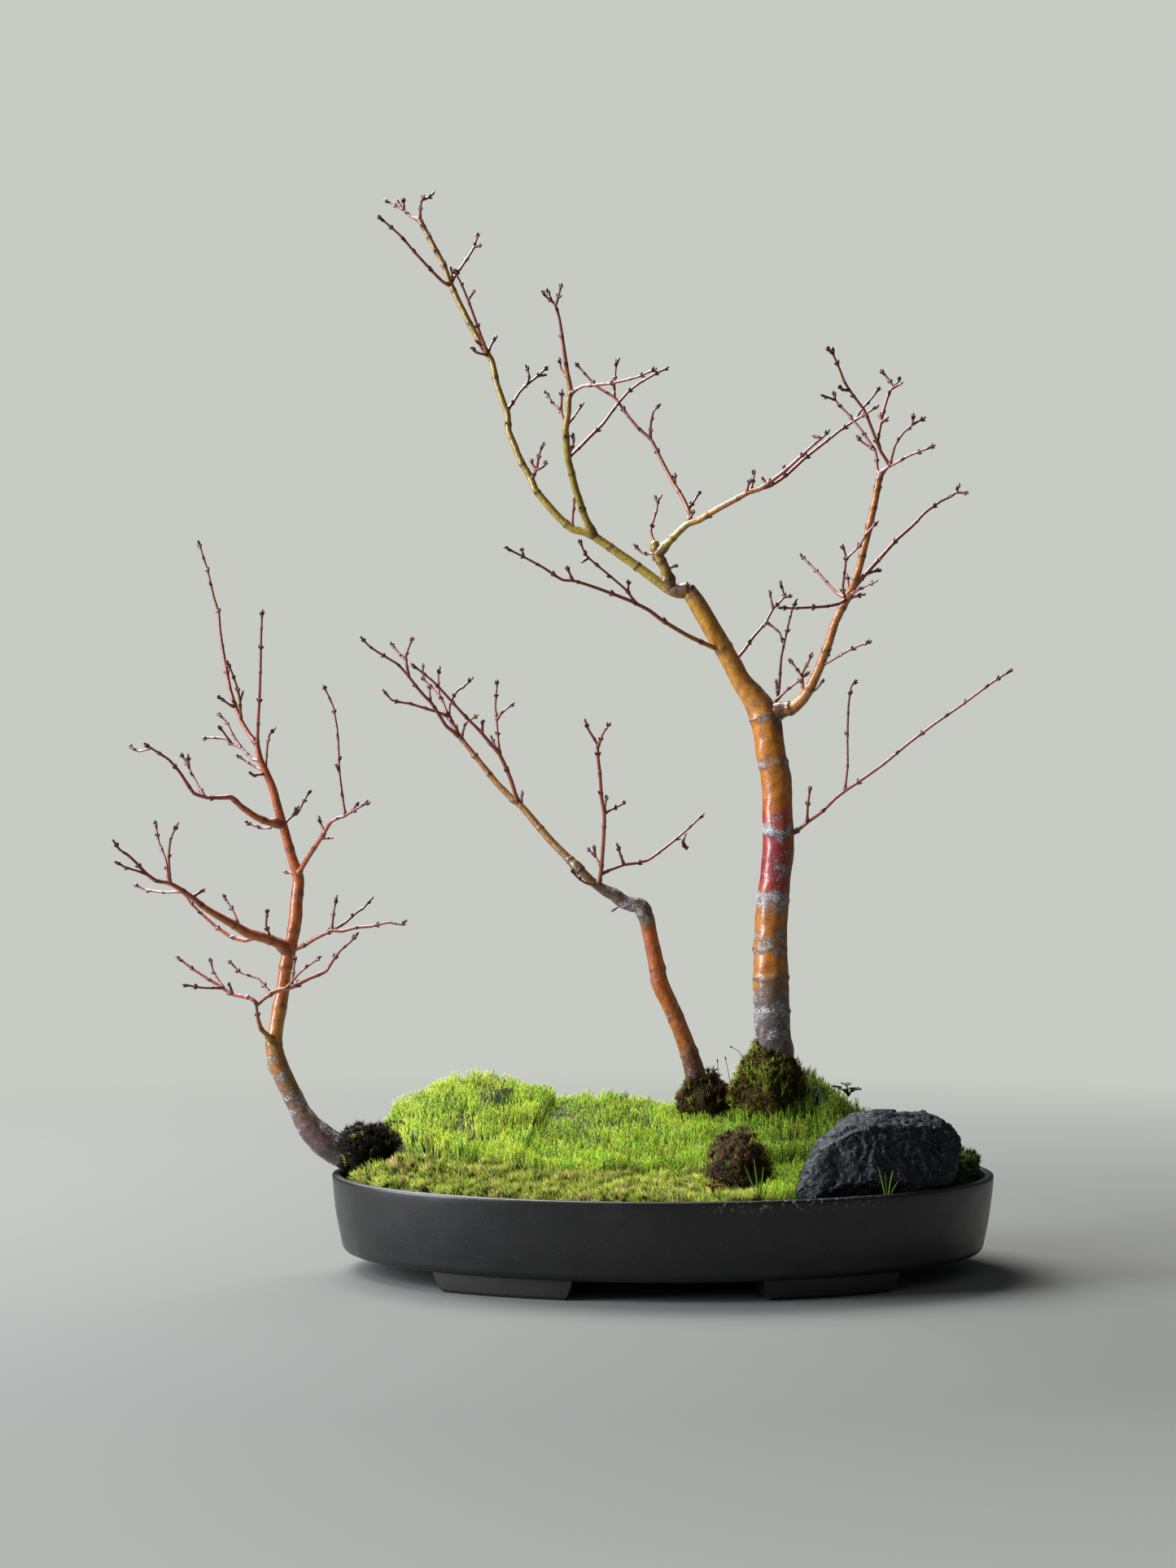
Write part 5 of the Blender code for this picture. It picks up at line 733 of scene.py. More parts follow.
def make_bark(limbs, foot, plane, stand, height, trunk_width, looks):
    """A tree's bark and its buds as two heaps."""
    draw = np.random.default_rng(looks["seed"])
    paths = grown(limbs, plane)
    scale = height / ((max(z for path in paths for _, z, _, _ in path) - foot[1]) * MM)
    girth = trunk_width / (limbs[0][1][1][2] * MM)
    bark, buds = Heap(), Heap()
    for k, path in enumerate(paths):
        solid = placed(path, foot, plane, stand, scale, girth)
        trunk = k == 0
        course, widths, along = course_of(solid, 0.00065 if trunk else 0.0008, 0.9 if trunk else 0.55)
        thick = widths.max()
        sides = 56 if trunk else 24 if thick > 0.002 else 14 if thick > 0.0011 else 10
        total = along[-1]
        tips_only = thick < 0.0014
        # swellings: scars on the trunk, nodes on the limbs
        if trunk:
            heights = stand.z + (np.array(looks["scars"]) - foot[1]) * MM * scale
            marks = along[np.abs(course[:, 2][None] - heights[:, None]).argmin(axis=1)]
            swell = 0.055
            reach = 0.0016
        else:
            first = max(2.2 * widths[0], 0.004)
            order = np.arange(MOST_GAPS)
            gaps = draw.uniform(*NODE_GAPS, size=MOST_GAPS) * np.minimum(0.40 + 0.26 * order, 2.3)
            marks = total - np.cumsum(gaps)
            marks = marks[marks > first][::-1]
            swell = 0.34 if tips_only else 0.16
            reach = 0.00075 if tips_only else 0.0011
        ring = np.zeros(len(course))
        for mark in marks:
            ring += np.exp(-(((along - mark) / reach) ** 2))
        ring = np.minimum(ring, 1.2)
        grown_width = widths * (1 + swell * ring)
        if not trunk:
            collar = max(widths[0] * 1.6, 0.0016)
            past = ((along - 1.2 * collar) / collar).clip(0)
            grown_width *= 1 + 0.45 * np.exp(-(past**2)) * (thick < 0.004)
        radii = np.repeat(grown_width[:, None], sides, axis=1)
        points, quads, caps = tube(course, radii, sides)
        body = len(course) * sides
        rough = waves(points, max(thick * 1.5, 0.0016), 11 + k) * 0.5
        rough += waves(points, max(thick * 0.6, 0.0009), 31 + k) * 0.5
        amount = 0.035 if trunk else 0.05
        ring_at = np.repeat(ring, sides)
        out = points[:body] - np.repeat(course, sides, axis=0)
        points[:body] += out * ((amount + 0.05 * ring_at) * rough[:body])[:, None]
        # colours
        ring_at = np.append(ring_at, [0.0, 0.0])
        width_at = np.append(np.repeat(widths, sides), [widths[0], widths[-1]])
        drawn_z = foot[1] + (points[:, 2] - stand.z) / scale / MM
        drawn_x = foot[0] + (points[:, 0] - stand.x) / scale / MM
        woody = looks["wood"](drawn_x, drawn_z + 7 * waves(points, 0.018, 3))
        twig = colour_ramp(looks["twig"], np.clip(width_at / 0.0016, 0, 1))
        share = smooth((width_at - 0.00085) / 0.0011)[:, None] if not trunk else np.ones((len(points), 1))
        tint = twig * (1 - share) + woody * share
        tint *= (1 + 0.16 * waves(points, 0.006, 5) + 0.10 * waves(points, 0.0022, 6))[:, None]
        scar = np.clip(ring_at, 0, 1)[:, None] * (0.35 if trunk else 0.72)
        tint = tint * (1 - scar) + (DARK_SCAR if trunk else MAROON) * scar
        if trunk:
            crust = looks["lichen"](drawn_x, drawn_z) + 0.10 * ring_at + 0.30 * waves(points, 0.009, 8) - 0.04
        else:
            crust = 0.16 * np.clip(ring_at, 0, 1) + 0.10 * smooth((width_at - 0.0012) / 0.002) - 0.02
        if not trunk:
            away = np.append(np.repeat(along, sides), [0.0, total])
            near = np.exp(-((away / max(3.2 * widths[0], 0.003)) ** 2))[:, None] * 0.7
            tint = tint * (1 - near) + MAROON * near
        bark.add(points, [quads, caps], colours=np.clip(tint, 0.002, 1), lichen=np.clip(crust, 0, 1))
        # buds in pairs at the nodes, and at the tip
        if trunk:
            continue
        heading, side, over = frames_along(course)
        twist = draw.uniform(0, math.pi)
        for m, mark in enumerate([*marks, total]):
            at = int(np.argmin(np.abs(along - mark)))
            radius = grown_width[at]
            end = mark == total
            if radius > 0.0022 and draw.random() < 0.6:
                continue
            turn = twist + m * math.pi / 2
            across = side[at] * math.cos(turn) + over[at] * math.sin(turn)
            for sign in (-1, 0, 1) if end else (-1, 1):
                if draw.random() < 0.14 and sign:
                    continue
                lean = math.radians(draw.uniform(14, 30)) * abs(sign)
                aim = heading[at] * math.cos(lean) + across * sign * math.sin(lean)
                length = draw.uniform(*BUD_LENGTHS) * (0.85 if sign else 1.45)
                place = course[at] + across * sign * radius * 0.7 - heading[at] * 1.06 * length * end
                width = BUD_WIDTH * draw.uniform(0.75, 1.1) * (1.0 if sign else 1.2)
                shape, sides_quads, ends = pointed(place, aim, length, width)
                shade = MAROON * draw.uniform(0.6, 1.25)
                buds.add(shape, [sides_quads, ends], colours=shade, lichen=draw.uniform(0, 0.35))
    return bark, buds


def wood_at(z, stops):
    """The colour at each height, between stops of (height, red, green, blue)."""
    return colour_ramp([(height, srgb(*colour)) for height, *colour in stops], z)


def bands(z, *humps):
    """A sum of soft humps along the height, each (place, reach, amount)."""
    return sum(amount * np.exp(-(((z - place) / reach) ** 2)) for place, reach, amount in humps)


def near_line(x, z, start, end, reach):
    """1 on the line from start to end, falling to 0 around it."""
    run = np.array(end) - start
    share = np.clip(((x - start[0]) * run[0] + (z - start[1]) * run[1]) / (run @ run), 0, 1)
    away = np.hypot(x - start[0] - share * run[0], z - start[1] - share * run[1])
    return np.exp(-((away / reach) ** 2))


# The wrinkled collars of the right tree: where the leader leaves the trunk, and round the stub above it
COLLARS = (((53, 320), (67, 300), 3.4), ((6, 370), (19, 374), 4.5))


def collars(x, z):
    return np.max([near_line(x, z, *collar) for collar in COLLARS], axis=0)


def right_wood(x, z):
    trunk = wood_at(z, (
        (95, 58, 44, 52), (112, 92, 74, 82), (140, 122, 100, 96), (151, 150, 104, 66), (157, 206, 128, 30),
        (192, 208, 124, 32), (204, 178, 56, 46), (228, 170, 40, 44), (248, 190, 74, 38), (258, 210, 122, 26),
        (300, 214, 132, 26), (345, 206, 144, 30), (375, 186, 132, 34),
    ))
    leader = np.array(srgb(174, 146, 40))
    right = np.array(srgb(208, 128, 50))
    left = smooth((30 - x) / 25)[:, None] * smooth((z - 368) / 10)[:, None]
    limb = smooth((x - 68) / 8)[:, None]
    far = trunk * (1 - left) + leader * left
    wood = far * (1 - limb) + right * limb
    dark = 0.85 * collars(x, z)[:, None]
    return wood * (1 - dark) + np.array(srgb(66, 52, 42)) * dark


def right_lichen(x, z):
    crust = 0.03 + bands(
        z, (134, 17, 0.60), (173, 7, 0.42), (199, 6.5, 0.58), (238, 6.5, 0.56), (274, 5, 0.46),
        (302, 5, 0.42), (372, 6, 0.30),
    )
    crust += bands(z, (219, 13, 0.46), (184, 9, 0.24)) * smooth((x - 60) / 5)
    crust *= 1 - 0.4 * smooth((z - 310) / 30)
    return crust + 0.22 * collars(x, z)


def middle_wood(x, z):
    return wood_at(z, (
        (84, 54, 34, 28), (104, 118, 62, 30), (125, 196, 104, 32), (180, 204, 100, 32), (192, 116, 88, 62),
        (202, 108, 84, 56), (218, 160, 114, 44), (260, 172, 118, 44), (300, 170, 106, 46),
    ))


def middle_lichen(x, z):
    return 0.02 + bands(z, (90, 8, 0.28), (112, 6, 0.16), (133, 6, 0.22), (160, 5, 0.14), (196, 9, 0.50))


def left_wood(x, z):
    return wood_at(z, (
        (60, 50, 34, 34), (68, 92, 54, 60), (78, 112, 80, 80), (95, 140, 100, 60), (120, 196, 128, 40),
        (150, 208, 116, 38), (200, 206, 106, 44), (260, 202, 100, 48), (290, 182, 86, 48),
    ))


def left_lichen(x, z):
    return 0.02 + bands(z, (82, 10, 0.44), (100, 12, 0.34), (113, 4, 0.26))


TWIG = ((0.3, srgb(150, 66, 58)), (0.6, srgb(176, 84, 58)), (1.0, srgb(190, 108, 48)))
RED_TWIG = ((0.3, srgb(140, 58, 50)), (0.6, srgb(172, 74, 46)), (1.0, srgb(190, 88, 40)))
TREES = (
    ("maple_right", "bark_ochre", RIGHT_TREE, RIGHT_FOOT, RIGHT_PLANE, RIGHT_STAND, RIGHT_TREE_HEIGHT,
     RIGHT_TRUNK,
     {"seed": 21, "wood": right_wood, "lichen": right_lichen, "twig": TWIG,
      "scars": (136, 155, 171, 199, 236, 274, 301, 338, 368)}),
    ("maple_middle", "bark_orange", MIDDLE_TREE, MIDDLE_FOOT, MIDDLE_PLANE, MIDDLE_STAND, MIDDLE_TREE_HEIGHT,
     MIDDLE_TRUNK,
     {"seed": 22, "wood": middle_wood, "lichen": middle_lichen, "twig": TWIG,
      "scars": (112, 133, 160, 192)}),
    ("maple_left", "bark_salmon", LEFT_TREE, LEFT_FOOT, LEFT_PLANE, LEFT_STAND, LEFT_TREE_HEIGHT, LEFT_TRUNK,
     {"seed": 23, "wood": left_wood, "lichen": left_lichen, "twig": RED_TWIG,
      "scars": (92, 121, 142, 163, 183, 203, 228, 252)}),
)

for name, slot, limbs, foot, plane, stand, height, width, looks in TREES:
    bark, buds = make_bark(limbs, foot, plane, stand, height, width, looks)
    material = bark_material(slot)
    for heap, word in ((bark, "_bark"), (buds, "_buds")):
        piece = heap.build(name + word)
        piece.data.transform(Matrix.Translation(ORIGIN))
        show(piece, slot, material, name)


# Moss and root balls


def samples_on(name, spacing, upward=-1.0, seed=0):
    """Even-ish random points on a CAD node's surface where its normal points more upward than that."""
    points, faces, normals = node_mesh(name)
    corners = points[faces]
    square = np.cross(corners[:, 1] - corners[:, 0], corners[:, 2] - corners[:, 0])
    area = np.linalg.norm(square, axis=1) / 2
    flat = square / np.maximum(2 * area[:, None], 1e-15)
    area = np.where(flat[:, 2] > upward, area, 0.0)
    draw = np.random.default_rng(seed)
    count = int(area.sum() / spacing**2)
    chosen = draw.choice(len(faces), size=count, p=area / area.sum())
    u, v = draw.random(count), draw.random(count)
    over = u + v > 1
    u[over], v[over] = 1 - u[over], 1 - v[over]
    weights = np.stack([1 - u - v, u, v], axis=1)
    place = np.einsum("nk,nkc->nc", weights, corners[chosen])
    normal = np.einsum("nk,nkc->nc", weights, normals[faces[chosen]])
    normal /= np.maximum(np.linalg.norm(normal, axis=1, keepdims=True), 1e-12)
    return place, normal


def unit(vectors):
    return vectors / np.maximum(np.linalg.norm(vectors, axis=1, keepdims=True), 1e-12)


def needles(heap, roots, headings, lengths, widths, colours_low, colours_high, bend=None):
    """Closed three-sided needles; with bend they have a knee and curve over that way."""
    count = len(roots)
    headings = unit(headings)
    helper = np.where(np.abs(headings[:, 2:3]) < 0.9, np.array([[0.0, 0, 1]]), np.array([[1.0, 0, 0]]))
    side = unit(np.cross(headings, helper))
    over = np.cross(headings, side)
    rings = []
    levels = ((0.0, 1.0), (0.58, 0.72)) if bend is not None else ((0.0, 1.0),)
    for share, width in levels:
        middle = roots + headings * (lengths * share)[:, None]
        if bend is not None:
            middle = middle + bend * share**2
        for corner in range(3):
            turn = 2 * math.pi * corner / 3
            out = side * math.cos(turn) + over * math.sin(turn)
            rings.append(middle + out * (widths * width / 2)[:, None])
    tips = roots + headings * lengths[:, None]
    if bend is not None:
        tips = tips + bend
    rings.append(tips)
    points = np.stack(rings, axis=1)
    per = points.shape[1]
    base = (np.arange(count) * per)[:, None]
    if bend is None:
        shape = [(2, 1, 0), (0, 1, 3), (1, 2, 3), (2, 0, 3)]
    else:
        shape = [(2, 1, 0), (3, 4, 6), (4, 5, 6), (5, 3, 6)]
        shape += [(0, 1, 4), (0, 4, 3), (1, 2, 5), (1, 5, 4), (2, 0, 3), (2, 3, 5)]
    faces = (base[:, :, None] + np.array(shape)[None]).reshape(-1, 3)
    share = np.array([0.0] * 3 + [0.58] * 3 + [1.0]) if bend is not None else np.array([0.0] * 3 + [1.0])
    colours = colours_low[:, None] * (1 - share)[None, :, None] + colours_high[:, None] * share[None, :, None]
    heap.add(points.reshape(-1, 3), [faces], colours=colours.reshape(-1, 3))


def seen_from_above(place):
    """A search tree of points by their places across and back."""
    found = kdtree.KDTree(len(place))
    for i, (x, y, _z) in enumerate(place):
        found.insert((x, y, 0.0), i)
    found.balance()
    return found


def crowns(place, spacing, seed):
    """For each point, the offset from the nearest of some tuft centres, in shares of the spacing."""
    draw = np.random.default_rng(seed)
    area = np.ptp(place[:, 0]) * np.ptp(place[:, 1])
    count = max(3, min(len(place) // 4, int(area / spacing**2 * 1.1)))
    centres = place[draw.choice(len(place), size=count, replace=False)]
    found = seen_from_above(centres)
    owner = np.array([found.find((x, y, 0.0))[1] for x, y, _z in place])
    offset = place - centres[owner]
    offset[:, 2] = 0.0
    return offset / spacing, owner


def subdivided(points, faces):
    """Each triangle split into four."""
    ends = np.sort(np.concatenate([faces[:, [0, 1]], faces[:, [1, 2]], faces[:, [2, 0]]]), axis=1)
    pairs, index = np.unique(ends, axis=0, return_inverse=True)
    index = index.reshape(-1) + len(points)
    a, b, c = np.split(index, 3)
    first, second, third = faces.T
    split = [(first, a, c), (second, b, a), (third, c, b), (a, b, c)]
    faces = np.concatenate([np.stack(corners, axis=1) for corners in split])
    return np.vstack([points, points[pairs].mean(axis=1)]), faces


def add_base(heap, name, shrink, colour, stir=0.0, finer=0):
    """The body under the shoots: the CAD node drawn in by shrink, roughened by stir."""
    points, faces, normals = node_mesh(name)
    points = points - normals * shrink
    for _ in range(finer):
        points, faces = subdivided(points, faces)
    if stir:
        out = unit(points - points.mean(axis=0))
        points = points + out * (stir * (waves(points, 0.011, 3) + 0.6 * waves(points, 0.005, 9)))[:, None]
    heap.add(points, [faces], colours=np.array(colour) * (1 + 0.3 * waves(points, 0.01, 4))[:, None])


def square_to(headings):
    """Two directions square to each heading."""
    helper = unit(np.cross(headings, np.array([0.31, 0.93, 0.18])))
    return helper, np.cross(headings, helper)


def add_shoots(heap, place, normal, looks, seed, shade=None):
    """Upright bristly shoots: each a curved stem with leaves standing off its upper half."""
    draw = np.random.default_rng(seed)
    count = len(place)
    offset, owner = crowns(place, looks["tuft"], seed + 1)
    dome = 1 - np.clip(np.linalg.norm(offset, axis=1), 0, 1) ** 2
    tuft_tone = draw.normal(0, 1, owner.max() + 1)[owner]
    tuft_height = draw.normal(0, 1, owner.max() + 1)[owner].clip(-1.4, 1.6)
    tuft_lean = draw.normal(0, 0.10, (owner.max() + 1, 3))[owner]
    heading = unit(UP * 1.2 + normal * looks.get("follow", 0.22) + offset * 0.22 + tuft_lean
                   + draw.normal(0, 0.08, (count, 3)))
    lift = looks["lift"] * (0.7 * dome + 0.55 * tuft_height + draw.normal(0, 0.42, count))
    length = looks["length"] * (1 + 0.10 * draw.normal(0, 1, count))
    width = SHOOT_WIDTH * (1 + 0.2 * draw.normal(0, 1, count)).clip(0.5, 1.6)
    roots = place + heading * (lift - length)[:, None]
    bend = (offset * 0.0013 + draw.normal(0, 0.0007, (count, 3))) * np.array([1, 1, 0.2])
    tone = 1 + 0.12 * waves(place, 0.024, seed + 5) + 0.15 * tuft_tone + 0.22 * draw.normal(0, 1, count)
    tone = tone.clip(0.45, 1.7)[:, None]
    if shade is not None:
        tone = tone * shade(place)[:, None]
    warm = np.stack([1 + 0.14 * waves(place, 0.016, seed + 6), np.ones(count), np.ones(count)], axis=1)
    dry = draw.random(count)[:, None] < looks.get("dry", 0.05)
    low = np.where(dry, STRAW * 0.4, looks["low"]) * tone
    leaf = np.where(dry, STRAW * 0.8, looks["leaf"]) * tone * warm
    high = np.where(dry, STRAW, looks["high"]) * tone * warm
    needles(heap, roots, heading, length, width, low, high.clip(0, 0.92), bend)
    helper, other = square_to(heading)
    for level, spread in ((0.55, 0.42), (0.66, 0.40), (0.77, 0.34), (0.88, 0.26)):
        around = draw.uniform(0, 2 * math.pi, count)
        out = helper * np.cos(around)[:, None] + other * np.sin(around)[:, None]
        spot = roots + heading * (length * level)[:, None] + bend * level**2
        size = SHOOT_LEAF_LENGTH * draw.uniform(0.65, 1.2, count)
        # Painted shade: each side leaf is darker at its base than at its tip, and leaves lower on the shoot
        # are darker than those higher up.
        base = (leaf * (0.20 + 0.75 * level)).clip(0, 0.92)
        tip = (leaf * (0.40 + 1.15 * level)).clip(0, 0.92)
        needles(heap, spot, heading + out * spread, size, np.full(count, SHOOT_LEAF_WIDTH), base, tip)


def add_stars(heap, place, normal, looks, seed):
    """Low starry rosettes."""
    draw = np.random.default_rng(seed)
    count = len(place)
    offset, owner = crowns(place, looks["tuft"], seed + 1)
    tuft_tone = draw.normal(0, 1, owner.max() + 1)[owner]
    dome = 1 - np.clip(np.linalg.norm(offset, axis=1), 0, 1) ** 2
    helper, other = square_to(normal)
    rise = looks["lump"] * waves(place, 0.013, seed + 8) - looks["sink"] * (1 - dome)
    rise += draw.normal(0, 0.0005, count)
    centre = place + normal * rise[:, None]
    tone = 0.95 + 0.2 * waves(place, 0.014, seed + 5) + 0.18 * tuft_tone + 0.28 * draw.normal(0, 1, count)
    tone = tone.clip(0.3, 1.7)[:, None]
    patch = waves(place, looks.get("patch", 0.012), seed + 9)[:, None] * 0.5 + 0.5
    odd = draw.random(count)[:, None] * 0.6 + patch * 0.4 < looks["odd_share"]
    high = np.where(odd, looks["odd"], looks["high"]) * tone
    low = np.where(odd, np.array(looks["odd"]) * 0.35, looks["low"]) * tone
    for k in range(looks["leaves"]):
        turn = 2 * math.pi * k / looks["leaves"] + draw.normal(0, 0.45, count)
        out = helper * np.cos(turn)[:, None] + other * np.sin(turn)[:, None]
        aim = unit(out + normal * draw.uniform(*looks["rise"], count)[:, None] + UP * 0.3)
        size = looks["size"] * draw.uniform(0.55, 1.25, count)
        width = looks["width"] * draw.uniform(0.7, 1.3, count)
        needles(heap, centre - aim * 0.0006, aim, size, width, low.clip(0, 0.9), high.clip(0, 0.9))


def add_blades(heap, place, seed, count, length, lift, width, low, high, droop=0.25):
    """Single long blades or hairs that stand out of a mat."""
    draw = np.random.default_rng(seed)
    roots = place[draw.choice(len(place), count, replace=False)]
    lean = draw.normal(0, droop, (count, 3)) * np.array([1, 1, 0])
    reach = draw.uniform(*length, count)
    tone = draw.uniform(0.7, 1.2, (count, 1))
    heading = unit(UP + lean)
    roots = roots + heading * (lift - reach)[:, None]
    bend = lean * reach[:, None] * 0.5
    needles(heap, roots, heading, reach, np.full(count, width), np.array(low) * tone,
            (np.array(high) * tone).clip(0, 0.92), bend)


def finished(heap, name, slot, material, *replaced):
    piece = heap.build(name)
    piece.data.transform(Matrix.Translation(ORIGIN))
    return show(piece, slot, material, *replaced)


UP = np.array([0.0, 0.0, 1.0])
STRAW = np.array(srgb(206, 184, 128))
SHOOT_WIDTH = 0.00075
SHOOT_LEAF_LENGTH = 0.0030
SHOOT_LEAF_WIDTH = 0.00050
SHOOT_SPACING = 0.00138
STAR_SPACINGS = {"moss_front": 0.0025, "moss_right_end": 0.0017}
# Where two mats nearly meet: the bare gap that gets shoots, and how far from the other mat an edge is raised
SEAM_NEAR = 0.0010
SEAM_FAR = 0.0165
SEAM_REACH = 0.0220
SEAM_DIP = 0.0010


def plots_of():
    """Each mat's points and normals, with more where two mats nearly meet, so that no seam stays bare."""
    names = [name for name in nodes if name.startswith("moss_")]
    plots = {
        name: samples_on(name, STAR_SPACINGS.get(name, SHOOT_SPACING), -0.25, 40 + k)
        for k, name in enumerate(names)
    }
    maps = {name: seen_from_above(place) for name, (place, _) in plots.items()}
    coarse = {}
    for name, (place, _) in plots.items():
        sparse = place[::10]
        coarse[name] = (sparse[:, 2], seen_from_above(sparse))

    def level(name, x, y):
        """The height of the mat's top around a place, its edges left out."""
        heights, found = coarse[name]
        return np.percentile([heights[i] for _, i, _ in found.find_n((x, y, 0.0), 45)], 78)

    extra = {name: [] for name in plots}
    ground, _ = samples_on("soil_bed", 0.00140, 0.5, 77)
    for x, y, _z in ground:
        near = sorted((found.find((x, y, 0.0))[2], name) for name, found in maps.items())
        (first, owner), (second, other) = near[:2]
        if SEAM_NEAR < first and first + second < SEAM_FAR:
            share = first / (first + second)
            top = level(owner, x, y) * (1 - share) + level(other, x, y) * share
            extra[owner].append((x, y, top - SEAM_DIP))
    for name, added in extra.items():
        place, normal = plots[name]
        for i, (x, y, z) in enumerate(place):
            away = min(found.find((x, y, 0.0))[2] for other, found in maps.items() if other != name)
            if away < SEAM_REACH:
                place[i, 2] = max(z, level(name, x, y) - SEAM_DIP)
        if added:
            plots[name] = (np.vstack([place, added]), np.vstack([normal, np.tile(UP, (len(added), 1))]))
    return plots


moss = foliage_material("tall_moss")
low_moss = foliage_material("low_moss")
dark_moss = foliage_material("dark_moss")
peat = foliage_material("root_ball", 0.8)


def hill_shade(place):
    """Darker towards the right-hand slope."""
    return 1 - 0.30 * smooth((place[:, 0] - 0.05) / 0.05)


# Shoot colours run from low at the root to high at the tip, with leaf for the side leaves, here and in the
# looks made from them: the dark low colours are painted shade deep in the carpet, and the pale high and leaf
# colours are partly the moss's pale new growth and partly a painted glow of light through the tips.
TALL = {"length": 0.0150, "lift": 0.0028, "tuft": 0.0095, "low": srgb(28, 52, 0), "high": srgb(240, 254, 140),
        "leaf": srgb(188, 230, 50)}
SHORT = dict(TALL, length=0.0085, lift=0.0022, tuft=0.006, high=srgb(196, 208, 88), leaf=srgb(144, 166, 38),
             dry=0.12)
plots = plots_of()

for k, name in enumerate(("moss_left_hill", "moss_centre", "moss_right_hill", "moss_front_right")):
    looks = dict(TALL)
    if name == "moss_right_hill":
        looks.update(length=0.0165, lift=0.0034, high=srgb(190, 216, 80), leaf=srgb(134, 174, 38))
    elif name != "moss_left_hill":
        looks.update(high=srgb(226, 242, 122), leaf=srgb(168, 210, 42))
    heap = Heap()
    add_base(heap, name, 0.0065, srgb(40, 54, 10))
    add_shoots(heap, *plots[name], looks, 140 + 7 * k, hill_shade)
    if name != "moss_front_right":
        add_blades(heap, plots[name][0], 170 + k, 34, (0.014, 0.019), 0.0065, 0.00030, STRAW * 0.6, STRAW,
                   0.2)
    if name == "moss_centre":
        right = plots[name][0][plots[name][0][:, 0] > 0.005]
        add_blades(heap, right, 180, 60, (0.014, 0.020), 0.0050, 0.0008, srgb(70, 110, 24),
                   srgb(176, 208, 96), 0.4)
    finished(heap, name.replace("moss", "turf"), "tall_moss", moss, name)

# Rosette leaves run from low at the heart to high at the tip; the near-black low colour is partly painted
# shade down among the leaves.
STARS = {"tuft": 0.0075, "sink": 0.0026, "lump": 0.0018, "low": srgb(16, 26, 1), "high": srgb(178, 190, 66),
         "odd": srgb(206, 162, 112), "odd_share": 0.18, "leaves": 10, "rise": (0.6, 2.4), "size": 0.0052,
         "width": 0.00072}
heap = Heap()
place, normal = plots["moss_front"]
# The near-black body under the rosettes is partly painted shade in the gaps between them.
add_base(heap, "moss_front", 0.0040, srgb(26, 30, 6))
add_stars(heap, place, normal, STARS, 81)
sprigs, sprig_normals = samples_on("moss_front", 0.0018, 0.2, 83)
tufted = waves(sprigs, 0.014, 84) > -0.45
add_shoots(heap, sprigs[tufted], sprig_normals[tufted], dict(SHORT, follow=0.1), 85)
grassy = place[place[:, 0] > -0.01]
add_blades(heap, grassy, 86, 70, (0.008, 0.015), 0.0060, 0.0009, srgb(84, 120, 32), srgb(196, 216, 118), 0.5)
finished(heap, "turf_front", "low_moss", low_moss, "moss_front")

heap = Heap()
add_base(heap, "moss_right_end", 0.0016, srgb(18, 20, 6))
DARK_STARS = dict(STARS, high=srgb(88, 104, 28), low=srgb(28, 34, 8), odd=srgb(120, 100, 50), size=0.0030,
                  odd_share=0.12)
add_stars(heap, *plots["moss_right_end"], DARK_STARS, 88)
finished(heap, "turf_right_end", "dark_moss", dark_moss, "moss_right_end")

BALL = {"tuft": 0.008, "sink": 0.0016, "lump": 0.0016, "low": srgb(36, 28, 12), "high": srgb(116, 92, 40),
        "odd": srgb(132, 146, 42), "odd_share": 0.42, "leaves": 6, "rise": (0.3, 1.3), "size": 0.0036,
        "width": 0.00085, "patch": 0.016}
NO_PATCH = 9.0
# Each ball with the height of its patch of green moss and what sets its colours apart
BALLS = (
    ("root_ball_right", "root_ball", 0.104, {"odd_share": 0.34}),
    ("root_ball_middle", "root_ball", NO_PATCH,
     {"odd_share": 0.16, "high": srgb(84, 66, 34), "odd": srgb(116, 116, 40)}),
    # The left ball's near-black colours are partly its dark peat and partly painted shade.
    ("root_ball_left", "root_ball", NO_PATCH,
     {"odd_share": 0.10, "high": srgb(44, 36, 20), "low": srgb(14, 11, 7), "odd": srgb(70, 74, 26)}),
    ("brown_mound", "old_moss", 0.083,
     {"odd_share": 0.26, "high": srgb(96, 78, 48), "odd": srgb(112, 74, 52)}),
)
PATCH_LOOKS = dict(SHORT, length=0.006, lift=0.0016, follow=1.2, leaf=srgb(150, 172, 46))
for k, (name, slot, greens, change) in enumerate(BALLS):
    heap = Heap()
    place, normal = samples_on(name, 0.0019, -2.0, 190 + k)
    dark = tuple(c * 0.35 for c in change.get("high", BALL["high"]))
    add_base(heap, name, 0.0014, dark, 0.0011, 2)
    add_stars(heap, place, normal, dict(BALL, **change), 200 + 3 * k)
    away = ((place[:, 0] - 0.058) / 0.013) ** 2 + ((place[:, 2] - greens) / 0.009) ** 2
    green = waves(place, 0.007, 70) * 0.5 + np.exp(-away) > 0.42
    if green.any():
        add_shoots(heap, place[green], normal[green], PATCH_LOOKS, 210 + k)
    finished(heap, name + "_fibres", slot, peat, name)


# Stone


STONE_SEED = 4


